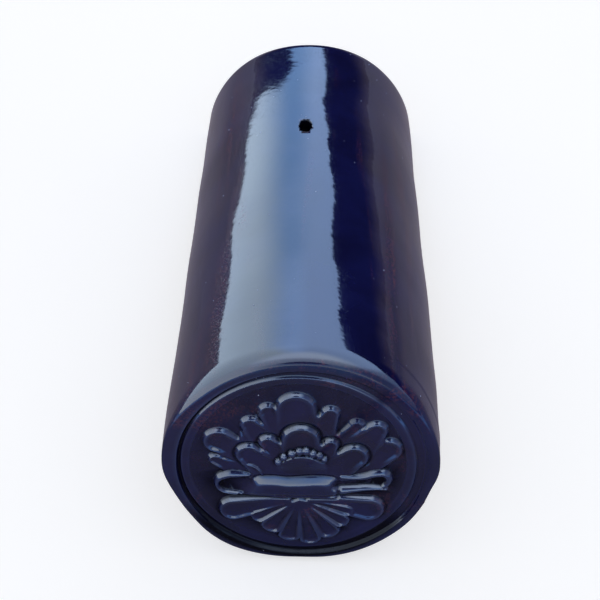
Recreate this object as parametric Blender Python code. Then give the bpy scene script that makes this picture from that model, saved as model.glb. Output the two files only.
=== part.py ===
"""Glazed barrel roof tile with a moulded end disc, fired as one piece.

Run it with: blender --background --python part.py
Lengths are metres and +Z is up. The tile lies crown up, as it rests on a flat surface: on the lowest
point of its disc and on the two rear corners of its barrel. The disc is at -Y, the open end at +Y.
It is drawn in the tile's own axes first: the origin on the barrel's axis at the disc's face, Y along
the axis to the rear and Z up to the crown.
"""

import math

import bmesh
import bpy
import numpy as np

# Barrel
BARREL_LENGTH = 0.352
BARREL_RADIUS = 0.080
BARREL_WALL = 0.015
REAR_EDGE_ROUND = 0.0025

# Disc
DISC_THICKNESS = 0.019
DISC_LEAN = math.radians(3.95)
# The rim's outer edge is a quarter of an oval, fuller over the crown than below: how far in and back it goes
CROWN_ROUND = (0.0050, 0.0110)
LOWER_ROUND = (0.0012, 0.0017)
CROWN_ROUND_STARTS = (math.radians(12.0), math.radians(48.0))

# Below the barrel's edges the disc is trimmed in from the barrel's outline: at these angles, in degrees from
# the left edge round below to the right one, by so much, with turns softened over so many degrees
TRIMMED = (
    (0.0, 0.0),
    (4.0, 0.0),
    (12.0, 0.0016),
    (20.0, 0.0027),
    (34.0, 0.0027),
    (44.0, 0.0013),
    (56.0, 0.0010),
    (66.0, 0.0021),
    (76.0, 0.0034),
    (90.0, 0.0054),
    (100.0, 0.0046),
    (122.0, 0.0039),
    (144.0, 0.0036),
    (158.0, 0.0043),
    (168.0, 0.0040),
    (176.0, 0.0),
    (180.0, 0.0),
)
TRIM_SOFTNESS = 4.0

# Luting clay in the corner between the disc's back and the barrel
LUTING_LEG = 0.007

# The right front corner is pared down to the disc over this angle above and below the barrel's edge,
# most at the face and less behind the joint of disc and barrel
PARING_ANGLE = math.radians(52.0)
PARING_BELOW = math.radians(19.0)
PARING_AT_FACE = 0.0008
PARING_BEHIND = 0.0013
PARING_LENGTH = 0.060

# Nail hole through the crown, pushed through the soft clay and longer than wide
NAIL_HOLE_WIDTH = 0.0080
NAIL_HOLE_LENGTH = 0.0145
NAIL_HOLE_FROM_FACE = 0.235
NAIL_HOLE_SHIFT = -0.0021

# Rings moulded in the disc's face, round a middle a little to the left of the barrel's axis and below it:
# a field, a step up to a bead that climbs outward to its crest, a groove, and the lip of the rim
RING_SHIFT_ACROSS = -0.0024
RING_SHIFT_UP = -0.0005
FIELD_RADIUS = 0.0618
FIELD_DEPTH = 0.0022
FIELD_STEP = 0.0006
STEP_WIDTH = 0.0012
BEAD_RADIUS = 0.0661
BEAD_RISE = 0.0007
BEAD_FLANK = 0.0015
GROOVE_LEVEL = 0.0003
LIP_RADIUS = 0.0712
LIP_WALL = 0.0013
LOW_BEAD_FADES = 0.75
FLOWER_DROP = 0.0018

# How finely the solid is drawn
OUTLINE_SIDES = 96
ROUND_STEPS = 4
REAR_ROUND_STEPS = 3
WEB_RINGS = 66
RELIEF_TRIANGLES = 4800
FACE_RADII = (0.0640, 0.0661, 0.0668, 0.0677, 0.0688, 0.0700, 0.0712, 0.0728)
NAIL_HOLE_SIDES = 20

# The flower is drawn in millimetres on a field of this radius, across and up from its middle.
# It is carved work, so its places are shares of the field.
DRAWN_FIELD_RADIUS = 61.0

# A petal's wall and lip, the shares of its length over which it sinks and its dish fades out, and how far
# the petals behind are tucked down along its edge
PETAL_WALL = 2.6
PETAL_LIP = 2.3
PETAL_SINKS = (0.18, 0.85)
DISH_FADES = (0.3, 0.8)
TUCK = 0.45
TUCK_WIDTH = 1.1
TUCK_FADES = (0.2, 0.5)

# The body the petals stand out of, and the petals from the far ones to the near ones: tip centre, tip radius,
# base centre, base radius, level of the rim at the tip, level at the base, depth of the dish
BODY = (
    ((-5.0, 17.3), 29.5, (-3.0, 4.0), 28.0, 1.4, 1.0, 0.0),
    ((35.0, 22.0), 14.8, (26.0, 6.0), 16.0, 1.4, 1.0, 0.0),
)
BACK_PETALS = (
    ((49.4, 16.3), 9.3, (39.4, 6.3), 10.0, 1.9, 1.0, 0.8),
    ((-26.1, 33.3), 6.6, (-17.6, 21.3), 10.0, 1.9, 1.0, 0.7),
    ((-16.3, 42.8), 6.6, (-8.6, 31.3), 10.0, 1.9, 1.0, 0.7),
    ((17.2, 41.6), 6.3, (12.6, 29.3), 9.4, 1.9, 1.0, 0.7),
    ((-1.4, 44.8), 12.2, (-0.4, 33.3), 13.0, 2.1, 1.0, 1.1),
    ((31.7, 33.6), 5.6, (26.6, 21.3), 8.6, 1.9, 1.0, 0.7),
    ((42.5, 30.3), 7.4, (34.4, 18.3), 11.0, 2.0, 1.0, 0.8),
)
SIDE_LEAF = (
    ((-40.6, 5.3), 8.0, (-33.6, 0.3), 8.0, 1.5, 0.9, 0.8),
    ((-46.3, 6.6), 5.2, (-38.6, 1.3), 6.0, 1.9, 0.9, 0.8),
    ((-43.6, 20.6), 10.2, (-35.6, 15.3), 9.0, 2.1, 1.1, 1.2),
)
FRONT_PETALS = (
    ((-16.6, 20.6), 6.4, (-9.6, 10.3), 10.0, 2.8, 1.4, 0.8),
    ((17.8, 19.4), 5.8, (12.8, 9.3), 9.4, 2.8, 1.4, 0.7),
    ((1.4, 22.7), 12.0, (2.0, 11.3), 13.0, 3.1, 1.2, 1.1),
    ((-27.3, 11.6), 8.8, (-17.6, 1.3), 11.0, 2.7, 1.1, 1.0),
    ((30.9, 11.1), 9.4, (21.4, 1.3), 11.0, 2.7, 1.1, 1.0),
)
LOWER_PETALS = (
    ((-37.1, -32.2), 9.8, (-8.0, -25.4), 6.0, 2.7, 1.6, 0.7),
    ((40.7, -29.9), 10.4, (10.0, -24.4), 6.0, 2.5, 1.6, 0.7),
)

# Round-backed ridges: across, up, half width, height
RIDGE_FULLNESS = 1.0
SMALL_TENDRIL = (
    (-31.1, 4.3, 1.5, 2.0),
    (-25.6, 3.0, 1.5, 2.2),
    (-22.1, 0.0, 1.4, 2.2),
    (-19.9, -4.5, 1.2, 1.9),
)
LEFT_CURL = (
    (-27.6, -4.4, 2.2, 2.2),
    (-33.0, -4.3, 3.3, 2.8),
    (-39.5, -4.9, 3.9, 3.0),
    (-44.4, -8.0, 3.3, 2.8),
    (-46.0, -12.6, 2.4, 2.4),
    (-44.4, -16.9, 2.1, 2.1),
    (-40.2, -19.2, 1.9, 1.9),
    (-32.6, -20.2, 1.7, 1.8),
)
RIGHT_CURL = (
    (24.4, -5.0, 2.2, 1.9),
    (31.0, -5.0, 2.9, 2.5),
    (37.4, -4.0, 3.4, 2.9),
    (42.4, -2.0, 3.5, 3.1),
    (47.8, -1.6, 3.3, 2.9),
    (51.0, -5.0, 2.7, 2.5),
    (50.6, -9.3, 2.2, 2.2),
    (48.0, -12.8, 1.7, 1.8),
)
RIGHT_STALK = (
    (19.0, -16.4, 3.9, 2.8),
    (24.4, -15.6, 3.5, 2.8),
    (32.4, -14.2, 2.9, 2.7),
    (38.4, -13.2, 2.6, 2.7),
    (44.4, -13.2, 2.0, 2.3),
    (50.0, -13.8, 1.4, 1.8),
)

# Seed pod: its middle, half sizes and wall, its level at the top and how far it falls to the bottom,
# and the stamen beads round its top (across, up, radius) with their foot and their height
POD_MIDDLE = (2.2, -0.5)
POD_HALF_SIZE = (15.6, 14.0)
POD_WALL = 2.2
POD_TOP_LEVEL = 3.1
POD_FALL = 2.0
STAMEN_FOOT = 2.3
STAMEN_HEIGHT = 1.5
STAMENS = (
    (-10.9, 7.2, 2.3),
    (-7.9, 10.7, 2.4),
    (-3.4, 13.2, 2.6),
    (0.8, 15.2, 2.6),
    (4.4, 15.4, 2.6),
    (8.1, 13.5, 2.5),
    (11.9, 12.2, 2.4),
    (14.6, 9.7, 2.1),
)

# Fan of petals below: its hub, the ribs' angles from straight down, how far each petal between two ribs
# reaches, its wall, its level at the hub and at the end, and the hollow of each petal
FAN_HUB = (0.9, -22.7)
FAN_RIBS = (-67.0, -49.0, -23.0, 1.0, 23.0, 46.0, 65.0, 80.0)
FAN_REACHES = (33.5, 34.0, 36.5, 38.6, 37.5, 35.5, 33.5)
FAN_NOTCH = 4.5
FAN_WALL = 2.4
FAN_LEVEL = 1.3
FAN_RISE = 1.4
FLUTE_DEPTH = 1.2
FLUTE_STARTS = (0.16, 0.60)
FLUTE_ENDS = (0.84, 1.02)
FLUTE_SIDES = (0.16, 0.70)

# Swathe across the middle: its edges, the wave of its top, the walls above and below it, and its level,
# swell, fall and hem
SWATHE_TOP = -4.9
SWATHE_BOTTOM = -22.0
SWATHE_LEFT = -24.6
SWATHE_RIGHT = 22.9
SWATHE_WALL = 6.6
SWATHE_FOOT_WALL = 2.4
SWATHE_CORNER = 1.6
SWATHE_SLANT = 0.55
SWATHE_WAVE = 0.9
SWATHE_WAVE_LENGTH = 46.0
SWATHE_RIGHT_DROP = 0.7
SWATHE_LEVEL = 3.1
SWATHE_SWELL = 0.4
SWATHE_SWELL_PLACE = 6.0
SWATHE_SWELL_WIDTH = 10.0
SWATHE_FALL = 0.9
HEM_CREASE = 0.5
HEM_PLACE = 0.86
HEM_WIDTH = 0.06


def smooth(start, end, value):
    """0 before start and 1 after end, with a soft turn at both."""
    share = np.clip((value - start) / (end - start), 0.0, 1.0)
    return share * share * (3.0 - 2.0 * share)


def lay_over(level, face, inside, wall):
    """Lays a form over what is there, with a wall of that width inside its outline."""
    return level + (face - level) * smooth(0.0, wall, inside)


def tuck(level, inside, share=1.0):
    """Sinks what lies behind a form along the form's edge."""
    return level * (1.0 - TUCK * share * np.exp(-((inside / TUCK_WIDTH) ** 2)))


def petal(level, x, z, tip, tip_radius, base, base_radius, rim, base_level, dish):
    """A dished lobe with its rim highest at the tip, sinking towards its base, over what lies behind it."""
    along = np.subtract(base, tip)
    length = np.hypot(*along)
    place = ((x - tip[0]) * along[0] + (z - tip[1]) * along[1]) / length**2
    near = np.clip(place, 0.0, 1.0)
    gap = np.hypot(x - tip[0] - near * along[0], z - tip[1] - near * along[1])
    inside = tip_radius + (base_radius - tip_radius) * near - gap
    far = np.clip((place * length + tip_radius) / (length + tip_radius + base_radius), 0.0, 1.0)
    face = rim + (base_level - rim) * smooth(*PETAL_SINKS, far)
    dished = smooth(PETAL_LIP, PETAL_LIP + 0.35 * tip_radius, inside) * (1.0 - smooth(*DISH_FADES, far))
    face = face - dish * dished
    return lay_over(tuck(level, inside, 1.0 - smooth(*TUCK_FADES, far)), face, inside, PETAL_WALL)


def curve_through(points, steps=6):
    """More points on a smooth curve through these."""
    points = [np.array(point) for point in points]
    ends = [2 * points[0] - points[1]] + points + [2 * points[-1] - points[-2]]
    curve = [points[0]]
    for a, b, c, d in zip(ends[:-3], ends[1:-2], ends[2:-1], ends[3:]):
        for t in np.arange(1, steps + 1) / steps:
            bend = (2 * a - 5 * b + 4 * c - d) * t**2 + (3 * b - a - 3 * c + d) * t**3
            curve.append(0.5 * (2 * b + (c - a) * t + bend))
    return curve


def ridge(level, x, z, points):
    """A round-backed ridge along the points."""
    best = np.full(x.shape, 9.0)
    height = np.zeros(x.shape)
    curve = curve_through(points)
    for (x0, z0, half0, high0), (x1, z1, half1, high1) in zip(curve[:-1], curve[1:]):
        run, rise = x1 - x0, z1 - z0
        t = np.clip(((x - x0) * run + (z - z0) * rise) / (run**2 + rise**2), 0.0, 1.0)
        gap = np.hypot(x - x0 - t * run, z - z0 - t * rise) / (half0 + (half1 - half0) * t)
        height = np.where(gap < best, high0 + (high1 - high0) * t, height)
        best = np.minimum(gap, best)
    return np.maximum(level, height * np.clip(1.0 - best**2, 0.0, 1.0) ** RIDGE_FULLNESS)


def seed_pod(level, x, z):
    """A low dome with stamen beads along its top."""
    across = (x - POD_MIDDLE[0]) / POD_HALF_SIZE[0]
    up = (z - POD_MIDDLE[1]) / POD_HALF_SIZE[1]
    inside = (1.0 - np.hypot(across, up)) * POD_HALF_SIZE[1]
    face = POD_TOP_LEVEL - POD_FALL * smooth(0.7, -0.2, up)
    level = lay_over(level, face, inside, POD_WALL)
    for bead_x, bead_z, radius in STAMENS:
        gap = np.hypot(x - bead_x, z - bead_z) / radius
        bead = STAMEN_FOOT + STAMEN_HEIGHT * np.sqrt(np.clip(1.0 - gap**2, 0.0, 1.0))
        level = np.maximum(level, np.where(gap < 1.0, bead, 0.0))
    return level


def fan(level, x, z):
    """Hollow petals spread from a hub, with a round rib between each two and a scalloped edge."""
    across = x - FAN_HUB[0]
    down = FAN_HUB[1] - z
    reach = np.hypot(across, down)
    turn = np.arctan2(across, down)
    ribs = np.radians(FAN_RIBS)
    place = np.interp(turn, ribs, np.arange(len(ribs)))
    number = np.clip(place.astype(int), 0, len(FAN_REACHES) - 1)
    middle = np.sin(np.pi * np.clip(place - number, 0.0, 1.0))
    edge = np.array(FAN_REACHES)[number] - FAN_NOTCH * (1.0 - np.sqrt(middle))
    share = reach / edge
    flute = smooth(*FLUTE_STARTS, share) * (1.0 - smooth(*FLUTE_ENDS, share)) * smooth(*FLUTE_SIDES, middle)
    face = FAN_LEVEL + FAN_RISE * np.minimum(share, 1.0) - FLUTE_DEPTH * flute
    sides = np.minimum(turn - ribs[0], ribs[-1] - turn) * reach + FAN_WALL / 2.0
    return lay_over(level, face, np.minimum(edge - reach, sides), FAN_WALL)


def swathe(level, x, z):
    """The thick band across the middle, with a wavy top, a slanting left end and a hem below."""
    wave = SWATHE_WAVE * np.sin(2.0 * math.pi * (x - 2.0) / SWATHE_WAVE_LENGTH)
    top = SWATHE_TOP + wave * smooth(-14.0, -4.0, x) - SWATHE_RIGHT_DROP * smooth(6.0, 21.0, x)
    left = SWATHE_LEFT - (top - z) * SWATHE_SLANT
    across_slant = (x - left) * math.cos(math.atan(SWATHE_SLANT))
    below = (z - SWATHE_BOTTOM) * SWATHE_WALL / SWATHE_FOOT_WALL
    sides = np.stack([top - z, below, across_slant, SWATHE_RIGHT - x])
    inside = -SWATHE_CORNER * np.log(np.sum(np.exp(-sides / SWATHE_CORNER), axis=0))
    drop = (top - z) / (top - SWATHE_BOTTOM)
    swell = SWATHE_SWELL * np.exp(-(((x - SWATHE_SWELL_PLACE) / SWATHE_SWELL_WIDTH) ** 2))
    face = SWATHE_LEVEL + swell * smooth(0.9, 0.2, drop) - SWATHE_FALL * smooth(0.35, 1.0, drop)
    face = face - HEM_CREASE * np.exp(-(((drop - HEM_PLACE) / HEM_WIDTH) ** 2))
    return lay_over(tuck(level, inside), face, inside + 0.6, SWATHE_WALL)


def flower_level(x, z):
    """Height of the flower over the field, in its own drawn millimetres."""
    level = np.zeros(x.shape)
    for lobe in BODY + BACK_PETALS + SIDE_LEAF + FRONT_PETALS:
        level = petal(level, x, z, *lobe)
    level = ridge(level, x, z, SMALL_TENDRIL)
    level = seed_pod(level, x, z)
    for lobe in LOWER_PETALS:
        level = petal(level, x, z, *lobe)
    level = fan(level, x, z)
    level = ridge(level, x, z, LEFT_CURL)
    level = ridge(level, x, z, RIGHT_CURL)
    level = ridge(level, x, z, RIGHT_STALK)
    return swathe(level, x, z)


def face_depth(x, z):
    """How far the disc's face lies behind its rim at a place across and up from the moulded rings' middle."""
    reach = np.hypot(x, z)
    rim_reach = np.hypot(x + RING_SHIFT_ACROSS, z + RING_SHIFT_UP)
    share = np.clip((reach - FIELD_RADIUS) / (BEAD_RADIUS - FIELD_RADIUS), 0.0, 1.0)
    low = smooth(0.25, 0.75, -z / np.maximum(reach, 0.001))
    bead = FIELD_STEP * smooth(FIELD_RADIUS - STEP_WIDTH, FIELD_RADIUS, reach) + BEAD_RISE * share
    fall = FIELD_STEP + BEAD_RISE - GROOVE_LEVEL
    bead = (bead - fall * smooth(BEAD_RADIUS, BEAD_RADIUS + BEAD_FLANK, reach)) * (1.0 - LOW_BEAD_FADES * low)
    groove = GROOVE_LEVEL * (1.0 - LOW_BEAD_FADES * low)
    rim = (FIELD_DEPTH - groove) * smooth(LIP_RADIUS - LIP_WALL, LIP_RADIUS, rim_reach)
    drawn = DRAWN_FIELD_RADIUS / FIELD_RADIUS
    flower = flower_level(x * drawn, (z + FLOWER_DROP) * drawn) / drawn
    return FIELD_DEPTH - bead - rim - flower * (reach < BEAD_RADIUS)


def outline_angles():
    return 2.0 * math.pi * np.arange(OUTLINE_SIDES) / OUTLINE_SIDES


def signed_turn(angle):
    """The angle from the right bedding edge, from -90 to 270 degrees."""
    return np.mod(angle + math.pi / 2.0, 2.0 * math.pi) - math.pi / 2.0


def outline_radius(angle):
    """Distance from the barrel's axis to the disc's outline: the barrel's above, trimmed by hand below."""
    below_left = np.degrees(np.maximum(signed_turn(angle) - math.pi, 0.0))
    turn = np.where(signed_turn(angle) < 0.0, 180.0 + np.degrees(signed_turn(angle)), below_left)
    turns, cuts = np.transpose(TRIMMED)
    steps = np.linspace(-TRIM_SOFTNESS, TRIM_SOFTNESS, 5)
    return BARREL_RADIUS - np.mean([np.interp(turn + step, turns, cuts) for step in steps], axis=0)


def paring(angle, y):
    """Depth pared off the outside at that angle and distance from the face."""
    turn = signed_turn(angle)
    share = smooth(PARING_ANGLE, 0.0, np.maximum(turn, 0.0)) * smooth(-PARING_BELOW, 0.0, turn)
    at_face = PARING_AT_FACE * np.clip(1.0 - y / DISC_THICKNESS, 0.0, 1.0)
    return share * (at_face + PARING_BEHIND * smooth(PARING_LENGTH, DISC_THICKNESS, y))


def outer_row(y, inset, lean):
    """A full turn of the outside: below the barrel's edges it follows the disc."""
    angle = outline_angles()
    reach = outline_radius(angle) - paring(angle, y) - inset
    x = reach * np.cos(angle)
    z = reach * np.sin(angle)
    return np.column_stack([x, y + z * math.tan(lean), z])


def half_row(radius, y, lean):
    """A half turn over the crown, from the right edge to the left one."""
    angle = outline_angles()[: OUTLINE_SIDES // 2 + 1]
    x = radius * np.cos(angle)
    z = radius * np.sin(angle)
    return np.column_stack([x, y + z * math.tan(lean), z])


def face_row(radius, sides):
    """A ring of the disc's face, round the disc's own middle."""
    angle = 2.0 * math.pi * np.arange(sides) / sides
    return face_points(radius * np.cos(angle), radius * np.sin(angle))


def face_points(across, up):
    x = across + RING_SHIFT_ACROSS
    z = up + RING_SHIFT_UP
    return np.column_stack([x, face_depth(across, up) + z * math.tan(DISC_LEAN), z])


class Shell:
    """Gathers points and faces in rows, and closes them into one mesh."""

    def __init__(self):
        self.points = []
        self.faces = []

    def add(self, row):
        first = len(self.points)
        self.points.extend(map(tuple, row))
        return list(range(first, len(self.points)))

    def strip(self, row, following, closed):
        """Quads between two rows of the same count."""
        count = len(row)
        for k in range(count if closed else count - 1):
            after = (k + 1) % count
            self.faces.append((row[k], row[after], following[after], following[k]))

    def zip_rings(self, inner, outer):
        """Triangles between two rings whose points are evenly spread, whatever their counts."""
        i = 0
        k = 0
        while i < len(inner) or k < len(outer):
            here, there = inner[i % len(inner)], outer[k % len(outer)]
            inner_next = (i + 1) / len(inner)
            outer_next = (k + 1) / len(outer)
            if outer_next <= inner_next:
                self.faces.append((here, outer[(k + 1) % len(outer)], there))
                k += 1
            else:
                self.faces.append((here, inner[(i + 1) % len(inner)], there))
                i += 1

    def mesh(self, name):
        mesh = bpy.data.meshes.new(name)
        mesh.from_pydata(self.points, [], self.faces)
        work = bmesh.new()
        work.from_mesh(mesh)
        bmesh.ops.recalc_face_normals(work, faces=work.faces)
        work.to_mesh(mesh)
        work.free()
        return mesh


def rear_rounding():
    """Steps of a quarter round: how far back and how far in each one is."""
    turns = np.linspace(0.0, math.pi / 2.0, REAR_ROUND_STEPS + 1)
    return [(REAR_EDGE_ROUND * (1.0 - math.cos(t)), REAR_EDGE_ROUND * (1.0 - math.sin(t))) for t in turns]


def rim_row(step):
    """One row of the rim's rounded outer edge: fuller over the crown than below it."""
    turn = signed_turn(outline_angles())
    upper = smooth(*CROWN_ROUND_STARTS, turn) * smooth(*CROWN_ROUND_STARTS, math.pi - turn)
    in_crown, back_crown = CROWN_ROUND
    in_lower, back_lower = LOWER_ROUND
    t = math.pi / 2.0 * step / ROUND_STEPS
    inset = (in_lower + (in_crown - in_lower) * upper) * (1.0 - math.sin(t))
    back = (back_lower + (back_crown - back_lower) * upper) * (1.0 - math.cos(t))
    return outer_row(back, inset, DISC_LEAN)


def build_face(shell):
    """The relief as a web of rings, then bead, groove and lip. Returns the last ring and the web's points."""
    middle = shell.add(face_points(np.zeros(1), np.zeros(1)))
    ring = shell.add(face_row(FIELD_RADIUS / WEB_RINGS, 6))
    for k in range(6):
        shell.faces.append((middle[0], ring[k], ring[(k + 1) % 6]))
    for k in range(2, WEB_RINGS + 1):
        outer = shell.add(face_row(FIELD_RADIUS * k / WEB_RINGS, 6 * k))
        shell.zip_rings(ring, outer)
        ring = outer
    web_end = ring[0]
    for radius in FACE_RADII:
        outer = shell.add(face_row(radius, OUTLINE_SIDES))
        shell.zip_rings(ring, outer)
        ring = outer
    return ring, web_end


def build_tile_mesh():
    shell = Shell()
    ring, web_end = build_face(shell)
    half = OUTLINE_SIDES // 2 + 1

    # rim and outside of the disc
    for step in range(ROUND_STEPS + 1):
        row = shell.add(rim_row(step))
        if step == 0:
            shell.zip_rings(ring, row)
        else:
            shell.strip(ring, row, closed=True)
        ring = row
    back_row = shell.add(outer_row(DISC_THICKNESS, 0.0, DISC_LEAN))
    shell.strip(ring, back_row, closed=True)

    # outside of the barrel, pared near the disc
    outside = [back_row[:half]]
    for share in (0.5, 1.0):
        y = DISC_THICKNESS + (PARING_LENGTH - DISC_THICKNESS) * share
        outside.append(shell.add(outer_row(y, 0.0, 0.0)[:half]))
    rear = rear_rounding()
    for back, inset in reversed(rear):
        outside.append(shell.add(half_row(BARREL_RADIUS - inset, BARREL_LENGTH - back, 0.0)))

    # inside of the barrel, from the rear to the luting on the disc's back
    bore = BARREL_RADIUS - BARREL_WALL
    inside = [shell.add(half_row(bore + inset, BARREL_LENGTH - back, 0.0)) for back, inset in rear]
    inside.append(shell.add(half_row(bore, DISC_THICKNESS + LUTING_LEG, DISC_LEAN)))
    inside.append(shell.add(half_row(bore - LUTING_LEG, DISC_THICKNESS, DISC_LEAN)))
    rows = outside + inside
    for row, following in zip(rows[:-1], rows[1:]):
        shell.strip(row, following, closed=False)

    # the two long bedding edges, each one flat face, and the disc's flat back
    shell.faces.append([row[0] for row in rows])
    shell.faces.append([row[-1] for row in rows])
    shell.faces.append(inside[-1] + back_row[half - 1 :] + [back_row[0]])
    return shell.mesh("eave_tile"), web_end


def thin_relief(tile, web_end):
    """Keeps the relief's form with fewer triangles, and leaves the rest as it is."""
    group = tile.vertex_groups.new(name="relief")
    group.add(list(range(web_end)), 1.0, "REPLACE")
    web_triangles = 6 * WEB_RINGS**2
    whole = sum(len(face.vertices) - 2 for face in tile.data.polygons)
    thin = tile.modifiers.new("thin_relief", "DECIMATE")
    thin.decimate_type = "COLLAPSE"
    thin.use_collapse_triangulate = True
    thin.vertex_group = group.name
    thin.ratio = (whole - web_triangles + RELIEF_TRIANGLES) / whole


def nail_hole_cutter():
    """An oval bar through the crown, longer than the wall."""
    shape = bmesh.new()
    bmesh.ops.create_cone(
        shape, cap_ends=True, segments=NAIL_HOLE_SIDES, radius1=0.5, radius2=0.5, depth=BARREL_WALL * 3.0
    )
    bmesh.ops.scale(shape, vec=(NAIL_HOLE_WIDTH, NAIL_HOLE_LENGTH, 1.0), verts=shape.verts)
    mesh = bpy.data.meshes.new("nail_hole_cutter")
    shape.to_mesh(mesh)
    shape.free()
    cutter = bpy.data.objects.new("nail_hole_cutter", mesh)
    bpy.context.scene.collection.objects.link(cutter)
    cutter.location = (NAIL_HOLE_SHIFT, NAIL_HOLE_FROM_FACE, BARREL_RADIUS - BARREL_WALL / 2.0)
    cutter.hide_render = True
    cutter.display_type = "WIRE"
    return cutter


def glaze_material():
    """Deep cobalt glaze, fired glossy."""
    material = bpy.data.materials.new("cobalt_glaze")
    material.use_nodes = True
    shader = material.node_tree.nodes["Principled BSDF"]
    shader.inputs["Base Color"].default_value = (0.006, 0.008, 0.060, 1.0)
    shader.inputs["Roughness"].default_value = 0.12
    shader.inputs["Metallic"].default_value = 0.0
    return material


def resting_place(points):
    """Tilt that brings the disc's low back edge and the rear corners level, and the shift to the middle."""
    low = points[np.argmin(points[:, 2])]
    sink = -low[2]
    run = BARREL_LENGTH - (DISC_THICKNESS + low[2] * math.tan(DISC_LEAN))
    tilt = math.atan2(sink, run)
    y = points[:, 1] * math.cos(tilt) + points[:, 2] * math.sin(tilt)
    z = points[:, 2] * math.cos(tilt) - points[:, 1] * math.sin(tilt)
    middle_x = (points[:, 0].min() + points[:, 0].max()) / 2.0
    middle_y = (y.min() + y.max()) / 2.0
    return tilt, (-middle_x, -middle_y, -z.min())


def build():
    for item in list(bpy.data.objects):
        bpy.data.objects.remove(item, do_unlink=True)
    mesh, web_end = build_tile_mesh()
    tile = bpy.data.objects.new("eave_tile", mesh)
    bpy.context.scene.collection.objects.link(tile)
    mesh.materials.append(glaze_material())
    thin_relief(tile, web_end)
    cutter = nail_hole_cutter()
    hole = tile.modifiers.new("nail_hole", "BOOLEAN")
    hole.operation = "DIFFERENCE"
    hole.object = cutter
    mesh.shade_smooth()
    mesh.set_sharp_from_angle(angle=math.radians(35.0))

    points = np.array([tuple(vertex.co) for vertex in mesh.vertices])
    tilt, place = resting_place(points)
    stand = bpy.data.objects.new("resting_place", None)
    bpy.context.scene.collection.objects.link(stand)
    tile.parent = stand
    cutter.parent = stand
    stand.rotation_euler.x = -tilt
    stand.location = place


build()
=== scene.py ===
"""Looks of the glazed eave tile, laid out as a Blender add-on and run as a script.

Lengths are metres unless a name says otherwise. The tile is drawn in its own axes, as the part is: the
origin on the barrel's axis at the disc's face, Y along the axis to the rear and Z up to the crown.
settle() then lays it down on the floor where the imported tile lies.
"""

import math

import bmesh
import bpy
import numpy as np
from mathutils import Matrix, Vector


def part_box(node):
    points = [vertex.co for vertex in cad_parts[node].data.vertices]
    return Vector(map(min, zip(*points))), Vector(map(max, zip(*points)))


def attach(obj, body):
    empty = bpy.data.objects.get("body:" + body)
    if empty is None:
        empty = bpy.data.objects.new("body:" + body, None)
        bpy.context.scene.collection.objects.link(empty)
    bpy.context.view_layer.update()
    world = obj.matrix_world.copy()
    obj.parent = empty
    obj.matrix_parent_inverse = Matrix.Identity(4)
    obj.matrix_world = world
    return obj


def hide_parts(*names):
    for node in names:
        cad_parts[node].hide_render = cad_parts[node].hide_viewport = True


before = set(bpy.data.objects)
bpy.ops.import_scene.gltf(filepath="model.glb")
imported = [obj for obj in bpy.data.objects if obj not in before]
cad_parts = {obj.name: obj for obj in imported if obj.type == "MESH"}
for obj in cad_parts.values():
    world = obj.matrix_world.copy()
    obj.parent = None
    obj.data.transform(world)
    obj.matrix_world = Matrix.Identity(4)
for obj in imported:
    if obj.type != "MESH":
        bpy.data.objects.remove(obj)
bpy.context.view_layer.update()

bl_info = {
    "name": "Glazed Eave Tile",
    "version": (1, 0, 0),
    "blender": (4, 5, 0),
    "location": "View3D > Sidebar > Eave Tile",
    "description": "Builds a glazed barrel roof tile with a moulded end disc, and its studio stage",
    "category": "Object",
}

TILE = "eave_tile"

# Disc, as modelled in the part
DISC_THICKNESS = 0.019
DISC_LEAN = math.radians(3.95)
RIGHT_RUN_IN = math.radians(19.0)
REAR_EDGE_ROUND = 0.0025
LUTING_LEG = 0.007

# Below the barrel's edges the disc is trimmed in from the barrel's outline: at these angles, in degrees from
# the left edge round below to the right one, by so much, with turns softened over so many degrees
TRIMMED = (
    (0.0, 0.0),
    (4.0, 0.0),
    (12.0, 0.0016),
    (20.0, 0.0027),
    (34.0, 0.0027),
    (44.0, 0.0013),
    (56.0, 0.0010),
    (66.0, 0.0021),
    (76.0, 0.0034),
    (90.0, 0.0054),
    (100.0, 0.0046),
    (122.0, 0.0039),
    (144.0, 0.0036),
    (158.0, 0.0043),
    (168.0, 0.0040),
    (176.0, 0.0),
    (180.0, 0.0),
)
TRIM_SOFTNESS = 4.0

# The rim's outer edge is a quarter of an oval, fuller over the crown than below: how far in and back it goes
CROWN_ROUND = (0.0050, 0.0110)
LOWER_ROUND = (0.0012, 0.0017)
CROWN_ROUND_STARTS = (math.radians(12.0), math.radians(48.0))

# The right front corner is pared down to the disc, with a crease along the joint of disc and barrel
PARING_ANGLE = math.radians(52.0)
PARING_FULL_ANGLE = math.radians(20.0)
PARING_AT_FACE = 0.0008
PARING_BEHIND = 0.0013
PARING_LENGTH = 0.060
CREASE_FROM_FACE = 0.0190
CREASE_MIDDLE = math.radians(36.0)
CREASE_SLANT = 0.0045
CREASE_FULL_ANGLE = math.radians(44.0)
CREASE_STEP = 0.0003
CREASE_WIDTH = 0.0010

# Nail hole, with how ragged its outline is, how uneven the chipped edge, and how far out bare clay shows
NAIL_HOLE_WIDTH = 0.0080
NAIL_HOLE_LENGTH = 0.0145
NAIL_HOLE_FROM_FACE = 0.235
NAIL_HOLE_SHIFT = -0.0021
NAIL_HOLE_SIDES = 56
NAIL_HOLE_PLACE = (NAIL_HOLE_SHIFT, NAIL_HOLE_FROM_FACE, 0.0)
NAIL_HOLE_RAGGED = 0.055
NAIL_HOLE_CHIPPED = 0.35
NAIL_HOLE_PHASES = 6.28
NAIL_HOLE_BARE = 1.28

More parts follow.
